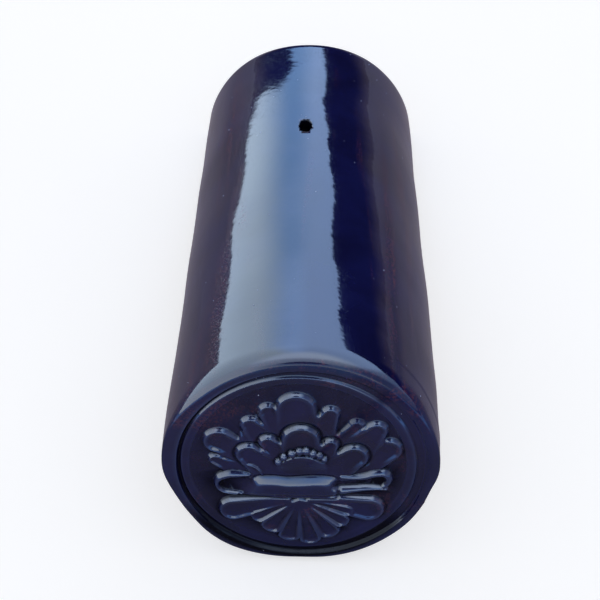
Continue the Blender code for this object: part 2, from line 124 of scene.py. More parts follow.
# Rings moulded in the disc's face, round a middle a little to the left of the barrel's axis and below it:
# a field, a step up to a bead that climbs outward to its crest, a groove, and the lip of the rim
RING_SHIFT_ACROSS = -0.0024
RING_SHIFT_UP = -0.0005
FIELD_RADIUS = 0.0618
FIELD_DEPTH = 0.0022
FIELD_STEP = 0.0006
STEP_WIDTH = 0.0012
BEAD_RADIUS = 0.0661
BEAD_RISE = 0.0007
BEAD_FLANK = 0.0015
GROOVE_LEVEL = 0.0003
LIP_RADIUS = 0.0712
LIP_WALL = 0.0013
LOW_BEAD_FADES = 0.75
LOW_BEAD_TURNS = (0.25, 0.75)
FLOWER_DROP = 0.0018

# How finely the visible surface is drawn
OUTLINE_SIDES = 288
FACE_STEPS = 34
FACE_RADIUS = 0.0728
ROUND_STEPS = 12
REAR_ROUND_STEPS = 4
WEB_RINGS = 176
RELIEF_TRIANGLES = 105000
ROW_SPACING = 0.0032
CREASE_ROWS = 8
CREASE_ROW_SHARE = 0.9
DISC_SIDE_ROWS = 10
BORE_ROWS = 60
LUTING_ROWS = 6
LEAN_FADES = 0.05
EDGE_SOFTENING = 0.0012

# The flower is drawn in millimetres on a field of this radius, across and up from its middle.
# It is carved work, so its places are shares of the field.
DRAWN_FIELD_RADIUS = 61.0

# A petal's wall and lip, its dish's wall as a share of the tip's radius, the shares of its length over which
# it sinks and its dish fades out, and how far the petals behind are tucked down along its edge
PETAL_WALL = 2.6
PETAL_LIP = 2.3
DISH_WALL = 0.35
PETAL_SINKS = (0.18, 0.85)
DISH_FADES = (0.3, 0.8)
TUCK = 0.45
TUCK_WIDTH = 1.1
TUCK_FADES = (0.2, 0.5)

# The body the petals stand out of, and the petals from the far ones to the near ones: tip centre, tip radius,
# base centre, base radius, level of the rim at the tip, level at the base, depth of the dish
BODY = (
    ((-5.0, 17.3), 29.5, (-3.0, 4.0), 28.0, 1.4, 1.0, 0.0),
    ((35.0, 22.0), 14.8, (26.0, 6.0), 16.0, 1.4, 1.0, 0.0),
)
BACK_PETALS = (
    ((49.4, 16.3), 9.3, (39.4, 6.3), 10.0, 1.9, 1.0, 0.8),
    ((-26.1, 33.3), 6.6, (-17.6, 21.3), 10.0, 1.9, 1.0, 0.7),
    ((-16.3, 42.8), 6.6, (-8.6, 31.3), 10.0, 1.9, 1.0, 0.7),
    ((17.2, 41.6), 6.3, (12.6, 29.3), 9.4, 1.9, 1.0, 0.7),
    ((-1.4, 44.8), 12.2, (-0.4, 33.3), 13.0, 2.1, 1.0, 1.1),
    ((31.7, 33.6), 5.6, (26.6, 21.3), 8.6, 1.9, 1.0, 0.7),
    ((42.5, 30.3), 7.4, (34.4, 18.3), 11.0, 2.0, 1.0, 0.8),
)
SIDE_LEAF = (
    ((-40.6, 5.3), 8.0, (-33.6, 0.3), 8.0, 1.5, 0.9, 0.8),
    ((-46.3, 6.6), 5.2, (-38.6, 1.3), 6.0, 1.9, 0.9, 0.8),
    ((-43.6, 20.6), 10.2, (-35.6, 15.3), 9.0, 2.1, 1.1, 1.2),
)
FRONT_PETALS = (
    ((-16.6, 20.6), 6.4, (-9.6, 10.3), 10.0, 2.8, 1.4, 0.8),
    ((17.8, 19.4), 5.8, (12.8, 9.3), 9.4, 2.8, 1.4, 0.7),
    ((1.4, 22.7), 12.0, (2.0, 11.3), 13.0, 3.1, 1.2, 1.1),
    ((-27.3, 11.6), 8.8, (-17.6, 1.3), 11.0, 2.7, 1.1, 1.0),
    ((30.9, 11.1), 9.4, (21.4, 1.3), 11.0, 2.7, 1.1, 1.0),
)
LOWER_PETALS = (
    ((-37.1, -32.2), 9.8, (-8.0, -25.4), 6.0, 2.7, 1.6, 0.7),
    ((40.7, -29.9), 10.4, (10.0, -24.4), 6.0, 2.5, 1.6, 0.7),
)

# Round-backed ridges: across, up, half width, height
RIDGE_FULLNESS = 1.0
SMALL_TENDRIL = (
    (-31.1, 4.3, 1.5, 2.0),
    (-25.6, 3.0, 1.5, 2.2),
    (-22.1, 0.0, 1.4, 2.2),
    (-19.9, -4.5, 1.2, 1.9),
)
LEFT_CURL = (
    (-27.6, -4.4, 2.2, 2.2),
    (-33.0, -4.3, 3.3, 2.8),
    (-39.5, -4.9, 3.9, 3.0),
    (-44.4, -8.0, 3.3, 2.8),
    (-46.0, -12.6, 2.4, 2.4),
    (-44.4, -16.9, 2.1, 2.1),
    (-40.2, -19.2, 1.9, 1.9),
    (-32.6, -20.2, 1.7, 1.8),
)
RIGHT_CURL = (
    (24.4, -5.0, 2.2, 1.9),
    (31.0, -5.0, 2.9, 2.5),
    (37.4, -4.0, 3.4, 2.9),
    (42.4, -2.0, 3.5, 3.1),
    (47.8, -1.6, 3.3, 2.9),
    (51.0, -5.0, 2.7, 2.5),
    (50.6, -9.3, 2.2, 2.2),
    (48.0, -12.8, 1.7, 1.8),
)
RIGHT_STALK = (
    (19.0, -16.4, 3.9, 2.8),
    (24.4, -15.6, 3.5, 2.8),
    (32.4, -14.2, 2.9, 2.7),
    (38.4, -13.2, 2.6, 2.7),
    (44.4, -13.2, 2.0, 2.3),
    (50.0, -13.8, 1.4, 1.8),
)

# Seed pod: its middle, half sizes and wall, its level at the top and how far it falls to the bottom,
# and the stamen beads round its top (across, up, radius) with their foot and their height
POD_MIDDLE = (2.2, -0.5)
POD_HALF_SIZE = (15.6, 14.0)
POD_WALL = 2.2
POD_TOP_LEVEL = 3.1
POD_FALL = 2.0
POD_FALLS = (0.7, -0.2)
STAMEN_FOOT = 2.3
STAMEN_HEIGHT = 1.5
STAMENS = (
    (-10.9, 7.2, 2.3),
    (-7.9, 10.7, 2.4),
    (-3.4, 13.2, 2.6),
    (0.8, 15.2, 2.6),
    (4.4, 15.4, 2.6),
    (8.1, 13.5, 2.5),
    (11.9, 12.2, 2.4),
    (14.6, 9.7, 2.1),
)

# Fan of petals below: its hub, the ribs' angles from straight down, how far each petal between two ribs
# reaches, its wall, its level at the hub and at the end, and the hollow of each petal
FAN_HUB = (0.9, -22.7)
FAN_RIBS = (-67.0, -49.0, -23.0, 1.0, 23.0, 46.0, 65.0, 80.0)
FAN_REACHES = (33.5, 34.0, 36.5, 38.6, 37.5, 35.5, 33.5)
FAN_NOTCH = 4.5
FAN_WALL = 2.4
FAN_LEVEL = 1.3
FAN_RISE = 1.4
FLUTE_DEPTH = 1.2
FLUTE_STARTS = (0.16, 0.60)
FLUTE_ENDS = (0.84, 1.02)
FLUTE_SIDES = (0.16, 0.70)

# Swathe across the middle: its edges, the wave of its top, the walls above and below it, and its level,
# swell, fall and hem
SWATHE_TOP = -4.9
SWATHE_BOTTOM = -22.0
SWATHE_LEFT = -24.6
SWATHE_RIGHT = 22.9
SWATHE_WALL = 6.6
SWATHE_FOOT_WALL = 2.4
SWATHE_CORNER = 1.6
SWATHE_SLANT = 0.55
SWATHE_OVERLAP = 0.6
SWATHE_WAVE = 0.9
SWATHE_WAVE_LENGTH = 46.0
SWATHE_WAVE_START = 2.0
SWATHE_WAVE_GROWS = (-14.0, -4.0)
SWATHE_RIGHT_DROP = 0.7
SWATHE_RIGHT_DROPS = (6.0, 21.0)
SWATHE_LEVEL = 3.1
SWATHE_SWELL = 0.4
SWATHE_SWELL_PLACE = 6.0
SWATHE_SWELL_WIDTH = 10.0
SWATHE_SWELL_FADES = (0.9, 0.2)
SWATHE_FALL = 0.9
SWATHE_FALLS = (0.35, 1.0)
HEM_CREASE = 0.5
HEM_PLACE = 0.86
HEM_WIDTH = 0.06

# The glaze's own unevenness: height and wavelength of its slow and its short waves, and its random seed
SLOW_WAVES = (0.00022, 0.085)
SHORT_WAVES = (0.00002, 0.024)
WAVE_SPREAD = (0.7, 1.5)
WAVE_SEED = 7

# Where the glaze stops: short of the disc's back, inside the barrel's outside, over the bedding edge and
# short of the rear end; and how far the line wanders and how softly it ends, in millimetres
STOPS_ON_DISC = 0.0015
STOPS_INSIDE = 0.0042
STOPS_OVER_EDGE = 0.0012
STOPS_AT_REAR = 0.0010
STOP_WANDERS = 3.4
STOP_SOFTNESS = 0.18

# Thin glaze, and pooled glaze darkened by painted shade in hollows, read from how far the face stands over
# its
# surroundings: the cell of the reading and its margin round the lip, the fine and the broad reach; what each
# adds per millimetre and at most
READING_CELL = 0.0005
READING_MARGIN = 0.006
FINE_REACH = 0.0010
BROAD_REACH = 0.0036
THIN_FINE = (2.2, 0.7)
THIN_BROAD = (0.30, 0.4)
POOL_AND_SHADE_FINE = (1.8, 0.08, 0.9)
POOL_AND_SHADE_BROAD = 0.35
# Past this depth in the nail hole the glaze is painted near black, as pooled glaze and shade
HOLE_POOL_AND_SHADE = 0.0006

# Thin lines along the rim and the rear edge, as depth and half width, and pooled glaze with painted shade low
# in the groove
THIN_RIM = (0.0012, 0.0016, 0.25)
THIN_REAR = (0.0006, 0.0014)
FACE_REACH = FIELD_DEPTH + 0.002
POOL_AND_SHADE_TURNS = (0.35, 0.7)
POOL_AND_SHADE_INNER = (0.0655, 0.0675)
POOL_AND_SHADE_OUTER = (0.0740, 0.0722)

# Plum glaze: turn from the crown and half width in degrees, where it lies along the barrel, and how far it
# reaches back on the shoulder at the middle and farther at the right, and how much of it the left keeps
FLANK_TURN = (40.0, 4.0)
FLANK_FADES = (0.34, 0.10)
PATCH_TURN = (-44.0, 9.0)
PATCH_PLACE = (0.27, 0.08)
SHOULDER_BACK = (0.0035, 0.0070)
SHOULDER_TURNS = (20.0, 45.0)
SHOULDER_HEIGHTS = (0.02, 0.05)
SHOULDER_REACH = 0.0735
SHOULDER_SIDES = (-0.045, 0.0, 0.25)
FILM_TURNS = (34.0, 60.0)
FILM_FROM_FACE = 0.012

# Noises: scale per metre, detail, roughness and distortion
STOP_NOISE = (210.0, 4.0, 0.6, 0.0)
PEEL_NOISE = (190.0, 2.0, 0.5, 0.0)
SAND_NOISE = (1300.0, 5.0, 0.7, 0.0)
SKYLINE_NOISE = (5.0, 1.0, 0.4, 0.0)

# Patches: a noise, the two levels between which a patch fades in, and how strong it is inside
STREAKS = (160.0, 3.0, 0.6, 0.0), (0.45, 0.80), 0.35
PLUM_CLOUDS = (34.0, 3.0, 0.6, 0.6), (0.54, 0.68), 0.6
PLUM_SPECKLE = (620.0, 3.0, 0.7, 0.0), (0.42, 0.62), 1.0
PLUM_STREAKS = (210.0, 4.0, 0.6, 0.0), (0.38, 0.66), 1.0
FILM_STREAKS = (330.0, 5.0, 0.7, 0.0), (0.40, 0.75), 0.16
CHIPS = (700.0, 3.0, 0.6, 0.0), (0.44, 0.60), 1.0
SCUFFS = (95.0, 5.0, 0.65, 0.0), (0.55, 0.80), 0.06
PITS = (1500.0, 1.0, 0.5, 0.0), (0.62, 0.74), 1.0
FLOOR_CLOUDS = (3.0, 3.0, 0.5, 0.0), (0.30, 0.70), 1.0

# How streaks are drawn out along the barrel, and how strongly plum and thin glaze show
ALONG = (1.0, 0.12, 1.0)
PLUM_SHOWS = 0.9
THIN_SHOWS = 0.8
PITS_IN_PLAIN_GLAZE = 0.12

# Ring of chips round the nail hole: where it starts and ends in half sizes of the hole, how it grows towards
# its right rear, and the heights over which it keeps to the outside
CHIPS_START = (0.98, 1.06)
CHIPS_END = (1.42, 1.16)
CHIPS_GROW = (-1.4, 1.0, 0.15, 1.0)
CHIPS_OUTSIDE = (0.076, 0.078)

# Roughness of glaze, clay, grit and floor, heights of their skins, and how strongly each mirrors
GLAZE_ROUGHNESS = 0.045
MARKED_ROUGHNESS = 0.10
CLAY_ROUGHNESS = 0.86
PEEL_HEIGHT = 0.00004
PIT_DEPTH = 0.00004
SAND_HEIGHT = 0.00035
GLAZE_HEIGHT = 0.0005
GLAZE_MIRROR = 0.5
POOL_AND_SHADE_MIRROR = 0.08
PLUM_DULLS = 0.6
GRIT_ROUGHNESS = (0.2, 0.4)
FLOOR_ROUGHNESS = 0.9
FLOOR_MIRROR = 0.1
FLOOR_DARKER = 0.97

# Grit and blisters in the glaze: the grit's share on the disc, which ends so far forward, how far inside the
# glazed area it starts, in millimetres, and how much of a blister is darkened as pooled glaze and painted
# shade
DISC_END = -0.150
DISC_GRIT = 0.25
GRIT_FROM_EDGE = 3.0
BLISTER_POOL_AND_SHADE = 0.7

# The floor as the glaze mirrors it: a painted shadow of the tile lies between these places in front of it,
# and the open floor starts farther out; and the painted glow of the open floor, and the glow of the floor
# seen by the camera
SHADE_STARTS = (-0.10, -0.15)
SHADE_ENDS = (-0.37, -0.21)
OPEN_FLOOR = (-0.40, -0.85)
OPEN_FLOOR_GLOW = 2.2
SEEN_FLOOR_GLOW = 0.55

# The sky as the glaze mirrors it, behind the tile and in front of it: colours, and the heights and turns in
# degrees, or shares of the way to a side, between which one gives way to the next
REAR_LOW = (1.15, 2.15, 4.0, 1.0)
REAR_HIGH = (2.7, 4.1, 6.9, 1.0)
REAR_RISES = (16.0, 34.0)
REAR_RIGHT = (2.3, 3.3, 5.4, 1.0)
REAR_RIGHT_TURNS = (-8.0, 5.0, 0.0, 0.7)
REAR_LEFT = (3.2, 4.1, 5.1, 1.0)
REAR_LEFT_TURNS = (-9.0, -30.0)
FRONT_LOW = (3.6, 4.3, 5.2, 1.0)
FRONT_HIGH = (1.5, 2.6, 4.9, 1.0)
FRONT_RISES = (8.0, 34.0)
FRONT_LEFT = (4.2, 4.8, 5.5, 1.0)
FRONT_LEFT_SIDES = (-0.05, -0.45, 0.0, 0.8)
FRONT_RIGHT = (0.50, 0.60, 1.10, 1.0)
FRONT_RIGHT_SIDES = (0.30, 0.60, 0.0, 0.85)
FRONT_STARTS = (0.15, -0.15)
OVERHEAD = (4.4, 5.5, 7.4, 1.0)
OVERHEAD_RISES = (46.0, 66.0)

# The dark skyline under the sky: its height by turn at the right, its end, its height at the left, where left
# meets right, how ragged it is, and its colours low down and above; and the shade of who stands over the tile
SKYLINE_RIGHT = (2.0, 22.0, 13.0, 23.0)
SKYLINE_END = (60.0, 95.0, 0.0, -20.0)
SKYLINE_LEFT = (-38.0, -12.0, -2.0, 13.0)
SKYLINE_MEETS = (-12.0, 4.0)
SKYLINE_RAGGED = 4.0
SKYLINE_EVEN_RIGHT = 0.85
SKYLINE_LEAST = 0.5
SKYLINE_SOFTNESS = 0.6
SCREEN_RISES = (-2.0, 8.0)
SCREEN_LOW = (0.26, 0.22, 0.26, 1.0)
SCREEN_HIGH = (0.015, 0.015, 0.06, 1.0)
ONLOOKER = (0.16, 0.20, 0.34, 1.0)
ONLOOKER_WAY = (0.0, -0.60, 0.80)
ONLOOKER_EDGE = (0.958, 0.986)
STUDIO_LIGHT = (0.62, 0.64, 0.70, 1.0)
BACKDROP = (0.93, 0.93, 0.94, 1.0)

# The camera of the view: where it stands, where it looks, its turn and its focal length on a 36 mm sensor
CAMERA_PLACE = (0.0028649, -0.4758220, 0.6411150)
CAMERA_LOOKS = (-0.0089785, 0.6014750, -0.7988420)
CAMERA_ROLL = math.radians(0.236)
CAMERA_LENS_MM = 67.6


def smooth(start, end, value):
    """0 before start and 1 after end, with a soft turn at both."""
    share = np.clip((value - start) / (end - start), 0.0, 1.0)
    return share * share * (3.0 - 2.0 * share)


def bell(value, middle, half_width):
    """1 at the middle, fading to 0 on both sides."""
    return np.exp(-(((value - middle) / half_width) ** 2))


def lay_over(level, face, inside, wall):
    """Lays a form over what is there, with a wall of that width inside its outline."""
    return level + (face - level) * smooth(0.0, wall, inside)


def tuck(level, inside, share=1.0):
    """Sinks what lies behind a form along the form's edge."""
    return level * (1.0 - TUCK * share * bell(inside, 0.0, TUCK_WIDTH))


def petal(level, x, z, tip, tip_radius, base, base_radius, rim, base_level, dish):
    """A dished lobe with its rim highest at the tip, sinking towards its base, over what lies behind it."""
    along = np.subtract(base, tip)
    length = np.hypot(*along)
    place = ((x - tip[0]) * along[0] + (z - tip[1]) * along[1]) / length**2
    near = np.clip(place, 0.0, 1.0)
    gap = np.hypot(x - tip[0] - near * along[0], z - tip[1] - near * along[1])
    inside = tip_radius + (base_radius - tip_radius) * near - gap
    far = np.clip((place * length + tip_radius) / (length + tip_radius + base_radius), 0.0, 1.0)
    face = rim + (base_level - rim) * smooth(*PETAL_SINKS, far)
    dished = smooth(PETAL_LIP, PETAL_LIP + DISH_WALL * tip_radius, inside) * (1.0 - smooth(*DISH_FADES, far))
    face = face - dish * dished
    return lay_over(tuck(level, inside, 1.0 - smooth(*TUCK_FADES, far)), face, inside, PETAL_WALL)


def curve_through(points, steps=6):
    """More points on a smooth curve through these."""
    points = [np.array(point) for point in points]
    ends = [2 * points[0] - points[1]] + points + [2 * points[-1] - points[-2]]
    curve = [points[0]]
    for a, b, c, d in zip(ends[:-3], ends[1:-2], ends[2:-1], ends[3:]):
        for t in np.arange(1, steps + 1) / steps:
            bend = (2 * a - 5 * b + 4 * c - d) * t**2 + (3 * b - a - 3 * c + d) * t**3
            curve.append(0.5 * (2 * b + (c - a) * t + bend))
    return curve


def ridge(level, x, z, points):
    """A round-backed ridge along the points."""
    best = np.full(x.shape, 9.0)
    height = np.zeros(x.shape)
    curve = curve_through(points)
    for (x0, z0, half0, high0), (x1, z1, half1, high1) in zip(curve[:-1], curve[1:]):
        run, rise = x1 - x0, z1 - z0
        t = np.clip(((x - x0) * run + (z - z0) * rise) / (run**2 + rise**2), 0.0, 1.0)
        gap = np.hypot(x - x0 - t * run, z - z0 - t * rise) / (half0 + (half1 - half0) * t)
        height = np.where(gap < best, high0 + (high1 - high0) * t, height)
        best = np.minimum(gap, best)
    return np.maximum(level, height * np.clip(1.0 - best**2, 0.0, 1.0) ** RIDGE_FULLNESS)


def seed_pod(level, x, z):
    """A low dome with stamen beads along its top."""
    across = (x - POD_MIDDLE[0]) / POD_HALF_SIZE[0]
    up = (z - POD_MIDDLE[1]) / POD_HALF_SIZE[1]
    inside = (1.0 - np.hypot(across, up)) * POD_HALF_SIZE[1]
    face = POD_TOP_LEVEL - POD_FALL * smooth(*POD_FALLS, up)
    level = lay_over(level, face, inside, POD_WALL)
    for bead_x, bead_z, radius in STAMENS:
        gap = np.hypot(x - bead_x, z - bead_z) / radius
        bead = STAMEN_FOOT + STAMEN_HEIGHT * np.sqrt(np.clip(1.0 - gap**2, 0.0, 1.0))
        level = np.maximum(level, np.where(gap < 1.0, bead, 0.0))
    return level


def fan(level, x, z):
    """Hollow petals spread from a hub, with a round rib between each two and a scalloped edge."""
    across = x - FAN_HUB[0]
    down = FAN_HUB[1] - z
    reach = np.hypot(across, down)
    turn = np.arctan2(across, down)
    ribs = np.radians(FAN_RIBS)
    place = np.interp(turn, ribs, np.arange(len(ribs)))
    number = np.clip(place.astype(int), 0, len(FAN_REACHES) - 1)
    middle = np.sin(np.pi * np.clip(place - number, 0.0, 1.0))
    edge = np.array(FAN_REACHES)[number] - FAN_NOTCH * (1.0 - np.sqrt(middle))
    share = reach / edge
    flute = smooth(*FLUTE_STARTS, share) * (1.0 - smooth(*FLUTE_ENDS, share)) * smooth(*FLUTE_SIDES, middle)
    face = FAN_LEVEL + FAN_RISE * np.minimum(share, 1.0) - FLUTE_DEPTH * flute
    sides = np.minimum(turn - ribs[0], ribs[-1] - turn) * reach + FAN_WALL / 2.0
    return lay_over(level, face, np.minimum(edge - reach, sides), FAN_WALL)


def swathe(level, x, z):
    """The thick band across the middle, with a wavy top, a slanting left end and a hem below."""
    wave = SWATHE_WAVE * np.sin(2.0 * math.pi * (x - SWATHE_WAVE_START) / SWATHE_WAVE_LENGTH)
    top = SWATHE_TOP + wave * smooth(*SWATHE_WAVE_GROWS, x)
    top = top - SWATHE_RIGHT_DROP * smooth(*SWATHE_RIGHT_DROPS, x)
    left = SWATHE_LEFT - (top - z) * SWATHE_SLANT
    across_slant = (x - left) * math.cos(math.atan(SWATHE_SLANT))
    below = (z - SWATHE_BOTTOM) * SWATHE_WALL / SWATHE_FOOT_WALL
    sides = np.stack([top - z, below, across_slant, SWATHE_RIGHT - x])
    inside = -SWATHE_CORNER * np.log(np.sum(np.exp(-sides / SWATHE_CORNER), axis=0))
    drop = (top - z) / (top - SWATHE_BOTTOM)
    swell = SWATHE_SWELL * bell(x, SWATHE_SWELL_PLACE, SWATHE_SWELL_WIDTH) * smooth(*SWATHE_SWELL_FADES, drop)
    face = SWATHE_LEVEL + swell - SWATHE_FALL * smooth(*SWATHE_FALLS, drop)
    face = face - HEM_CREASE * bell(drop, HEM_PLACE, HEM_WIDTH)
    return lay_over(tuck(level, inside), face, inside + SWATHE_OVERLAP, SWATHE_WALL)


def flower_level(x, z):
    """Height of the flower over the field, in its own drawn millimetres."""
    level = np.zeros(x.shape)
    for lobe in BODY + BACK_PETALS + SIDE_LEAF + FRONT_PETALS:
        level = petal(level, x, z, *lobe)
    level = ridge(level, x, z, SMALL_TENDRIL)
    level = seed_pod(level, x, z)
    for lobe in LOWER_PETALS:
        level = petal(level, x, z, *lobe)
    level = fan(level, x, z)
    level = ridge(level, x, z, LEFT_CURL)
    level = ridge(level, x, z, RIGHT_CURL)
    level = ridge(level, x, z, RIGHT_STALK)
    return swathe(level, x, z)


def face_depth(x, z):
    """How far the disc's face lies behind its rim at a place across and up from the moulded rings' middle."""
    reach = np.hypot(x, z)
    rim_reach = np.hypot(x + RING_SHIFT_ACROSS, z + RING_SHIFT_UP)
    share = np.clip((reach - FIELD_RADIUS) / (BEAD_RADIUS - FIELD_RADIUS), 0.0, 1.0)
    low = smooth(*LOW_BEAD_TURNS, -z / np.maximum(reach, 0.001))
    bead = FIELD_STEP * smooth(FIELD_RADIUS - STEP_WIDTH, FIELD_RADIUS, reach) + BEAD_RISE * share
    fall = FIELD_STEP + BEAD_RISE - GROOVE_LEVEL
    bead = (bead - fall * smooth(BEAD_RADIUS, BEAD_RADIUS + BEAD_FLANK, reach)) * (1.0 - LOW_BEAD_FADES * low)
    groove = GROOVE_LEVEL * (1.0 - LOW_BEAD_FADES * low)
    rim = (FIELD_DEPTH - groove) * smooth(LIP_RADIUS - LIP_WALL, LIP_RADIUS, rim_reach)
    drawn = DRAWN_FIELD_RADIUS / FIELD_RADIUS
    flower = flower_level(x * drawn, (z + FLOWER_DROP) * drawn) / drawn
    return FIELD_DEPTH - bead - rim - flower * (reach < BEAD_RADIUS)


def outline_angles():
    return 2.0 * math.pi * np.arange(OUTLINE_SIDES) / OUTLINE_SIDES


def signed_turn(angle):
    """The angle from the right bedding edge, from -90 to 270 degrees."""
    return np.mod(angle + math.pi / 2.0, 2.0 * math.pi) - math.pi / 2.0


def outline_radius(angle, sizes):
    """Distance from the barrel's axis to the disc's outline: the barrel's above, trimmed by hand below."""
    below_left = np.degrees(np.maximum(signed_turn(angle) - math.pi, 0.0))
    turn = np.where(signed_turn(angle) < 0.0, 180.0 + np.degrees(signed_turn(angle)), below_left)
    turns, cuts = np.transpose(TRIMMED)
    steps = np.linspace(-TRIM_SOFTNESS, TRIM_SOFTNESS, 5)
    return sizes.barrel_radius - np.mean([np.interp(turn + step, turns, cuts) for step in steps], axis=0)


def paring(angle, y):
    """Depth pared off the outside at that angle and distance from the face."""
    turn = signed_turn(angle)
    share = smooth(PARING_ANGLE, PARING_FULL_ANGLE, np.maximum(turn, 0.0)) * smooth(-RIGHT_RUN_IN, 0.0, turn)
    crease = CREASE_FROM_FACE + CREASE_SLANT * (turn - CREASE_MIDDLE)
    behind = PARING_BEHIND * smooth(PARING_LENGTH, CREASE_FROM_FACE, y)
    before = PARING_AT_FACE * np.clip(1.0 - y / crease, 0.0, 1.0)
    step = CREASE_STEP * smooth(crease, crease - CREASE_WIDTH, y)
    creased = smooth(PARING_ANGLE, CREASE_FULL_ANGLE, turn) * (turn > -RIGHT_RUN_IN)
    return share * (behind + before) + step * creased


def outer_row(y, inset, lean, sizes):
    """A full turn of the outside: below the barrel's edges it follows the disc."""
    angle = outline_angles()
    reach = outline_radius(angle, sizes) - paring(angle, y) - inset
    x = reach * np.cos(angle)
    z = reach * np.sin(angle)
    return np.column_stack([x, y + z * math.tan(lean), z])


def half_row(radius, y, lean):
    """A half turn over the crown, from the right edge to the left one."""
    angle = outline_angles()[: OUTLINE_SIDES // 2 + 1]
    x = radius * np.cos(angle)
    z = radius * np.sin(angle)
    return np.column_stack([x, y + z * math.tan(lean), z])


def face_row(radius, sides):
    """A ring of the disc's face, round the disc's own middle."""
    angle = 2.0 * math.pi * np.arange(sides) / sides
    return face_points(radius * np.cos(angle), radius * np.sin(angle))


def face_points(across, up):
    x = across + RING_SHIFT_ACROSS
    z = up + RING_SHIFT_UP
    return np.column_stack([x, face_depth(across, up) + z * math.tan(DISC_LEAN), z])


class Shell:
    """Gathers points and faces in rows, and closes them into one mesh."""

    def __init__(self):
        self.points = []
        self.faces = []
        self.hard_edges = []

    def add(self, row):
        first = len(self.points)
        self.points.extend(map(tuple, row))
        return list(range(first, len(self.points)))

    def strip(self, row, following, closed):
        """Quads between two rows of the same count."""
        count = len(row)
        for k in range(count if closed else count - 1):
            after = (k + 1) % count
            self.faces.append((row[k], row[after], following[after], following[k]))

    def zip_rings(self, inner, outer):
        """Triangles between two rings whose points are evenly spread, whatever their counts."""
        i = 0
        k = 0
        while i < len(inner) or k < len(outer):
            here, there = inner[i % len(inner)], outer[k % len(outer)]
            inner_next = (i + 1) / len(inner)
            outer_next = (k + 1) / len(outer)
            if outer_next <= inner_next:
                self.faces.append((here, outer[(k + 1) % len(outer)], there))
                k += 1
            else:
                self.faces.append((here, inner[(i + 1) % len(inner)], there))
                i += 1

    def harden(self, row):
        """Marks the edges along a row, to be softened by a bevel."""
        self.hard_edges.extend(zip(row[:-1], row[1:]))

    def mesh(self, name):
        mesh = bpy.data.meshes.new(name)
        mesh.from_pydata(self.points, [], self.faces)
        work = bmesh.new()
        work.from_mesh(mesh)
        bmesh.ops.recalc_face_normals(work, faces=work.faces)
        work.verts.ensure_lookup_table()
        weight = work.edges.layers.float.new("bevel_weight_edge")
        for start, end in self.hard_edges:
            edge = work.edges.get((work.verts[start], work.verts[end]))
            edge[weight] = 1.0
        work.to_mesh(mesh)
        work.free()
        return mesh


def quarter_round(back, inset, steps):
    """Steps of a quarter of an oval: how far back and how far in each one is."""
    turns = np.linspace(0.0, math.pi / 2.0, steps + 1)
    return [(back * (1.0 - math.cos(t)), inset * (1.0 - math.sin(t))) for t in turns]


def rim_row(step, sizes):
    """One row of the rim's rounded outer edge: fuller over the crown than below it."""
    turn = signed_turn(outline_angles())
    upper = smooth(*CROWN_ROUND_STARTS, turn) * smooth(*CROWN_ROUND_STARTS, math.pi - turn)
    in_crown, back_crown = CROWN_ROUND
    in_lower, back_lower = LOWER_ROUND
    t = math.pi / 2.0 * step / ROUND_STEPS
    inset = (in_lower + (in_crown - in_lower) * upper) * (1.0 - math.sin(t))
    back = (back_lower + (back_crown - back_lower) * upper) * (1.0 - math.cos(t))
    return outer_row(back, inset, DISC_LEAN, sizes)


def build_face(shell):
    """The relief as a web of rings, then bead, groove and lip. Returns the last ring and the web's points."""
    middle = shell.add(face_points(np.zeros(1), np.zeros(1)))
    ring = shell.add(face_row(FIELD_RADIUS / WEB_RINGS, 6))
    for k in range(6):
        shell.faces.append((middle[0], ring[k], ring[(k + 1) % 6]))
    for k in range(2, WEB_RINGS + 1):
        outer = shell.add(face_row(FIELD_RADIUS * k / WEB_RINGS, 6 * k))
        shell.zip_rings(ring, outer)
        ring = outer
    web_end = ring[0]
    radii = list(np.linspace(FIELD_RADIUS, FACE_RADIUS, FACE_STEPS + 1))[1:]
    for radius in radii:
        outer = shell.add(face_row(radius, OUTLINE_SIDES))
        shell.zip_rings(ring, outer)
        ring = outer
    return ring, web_end


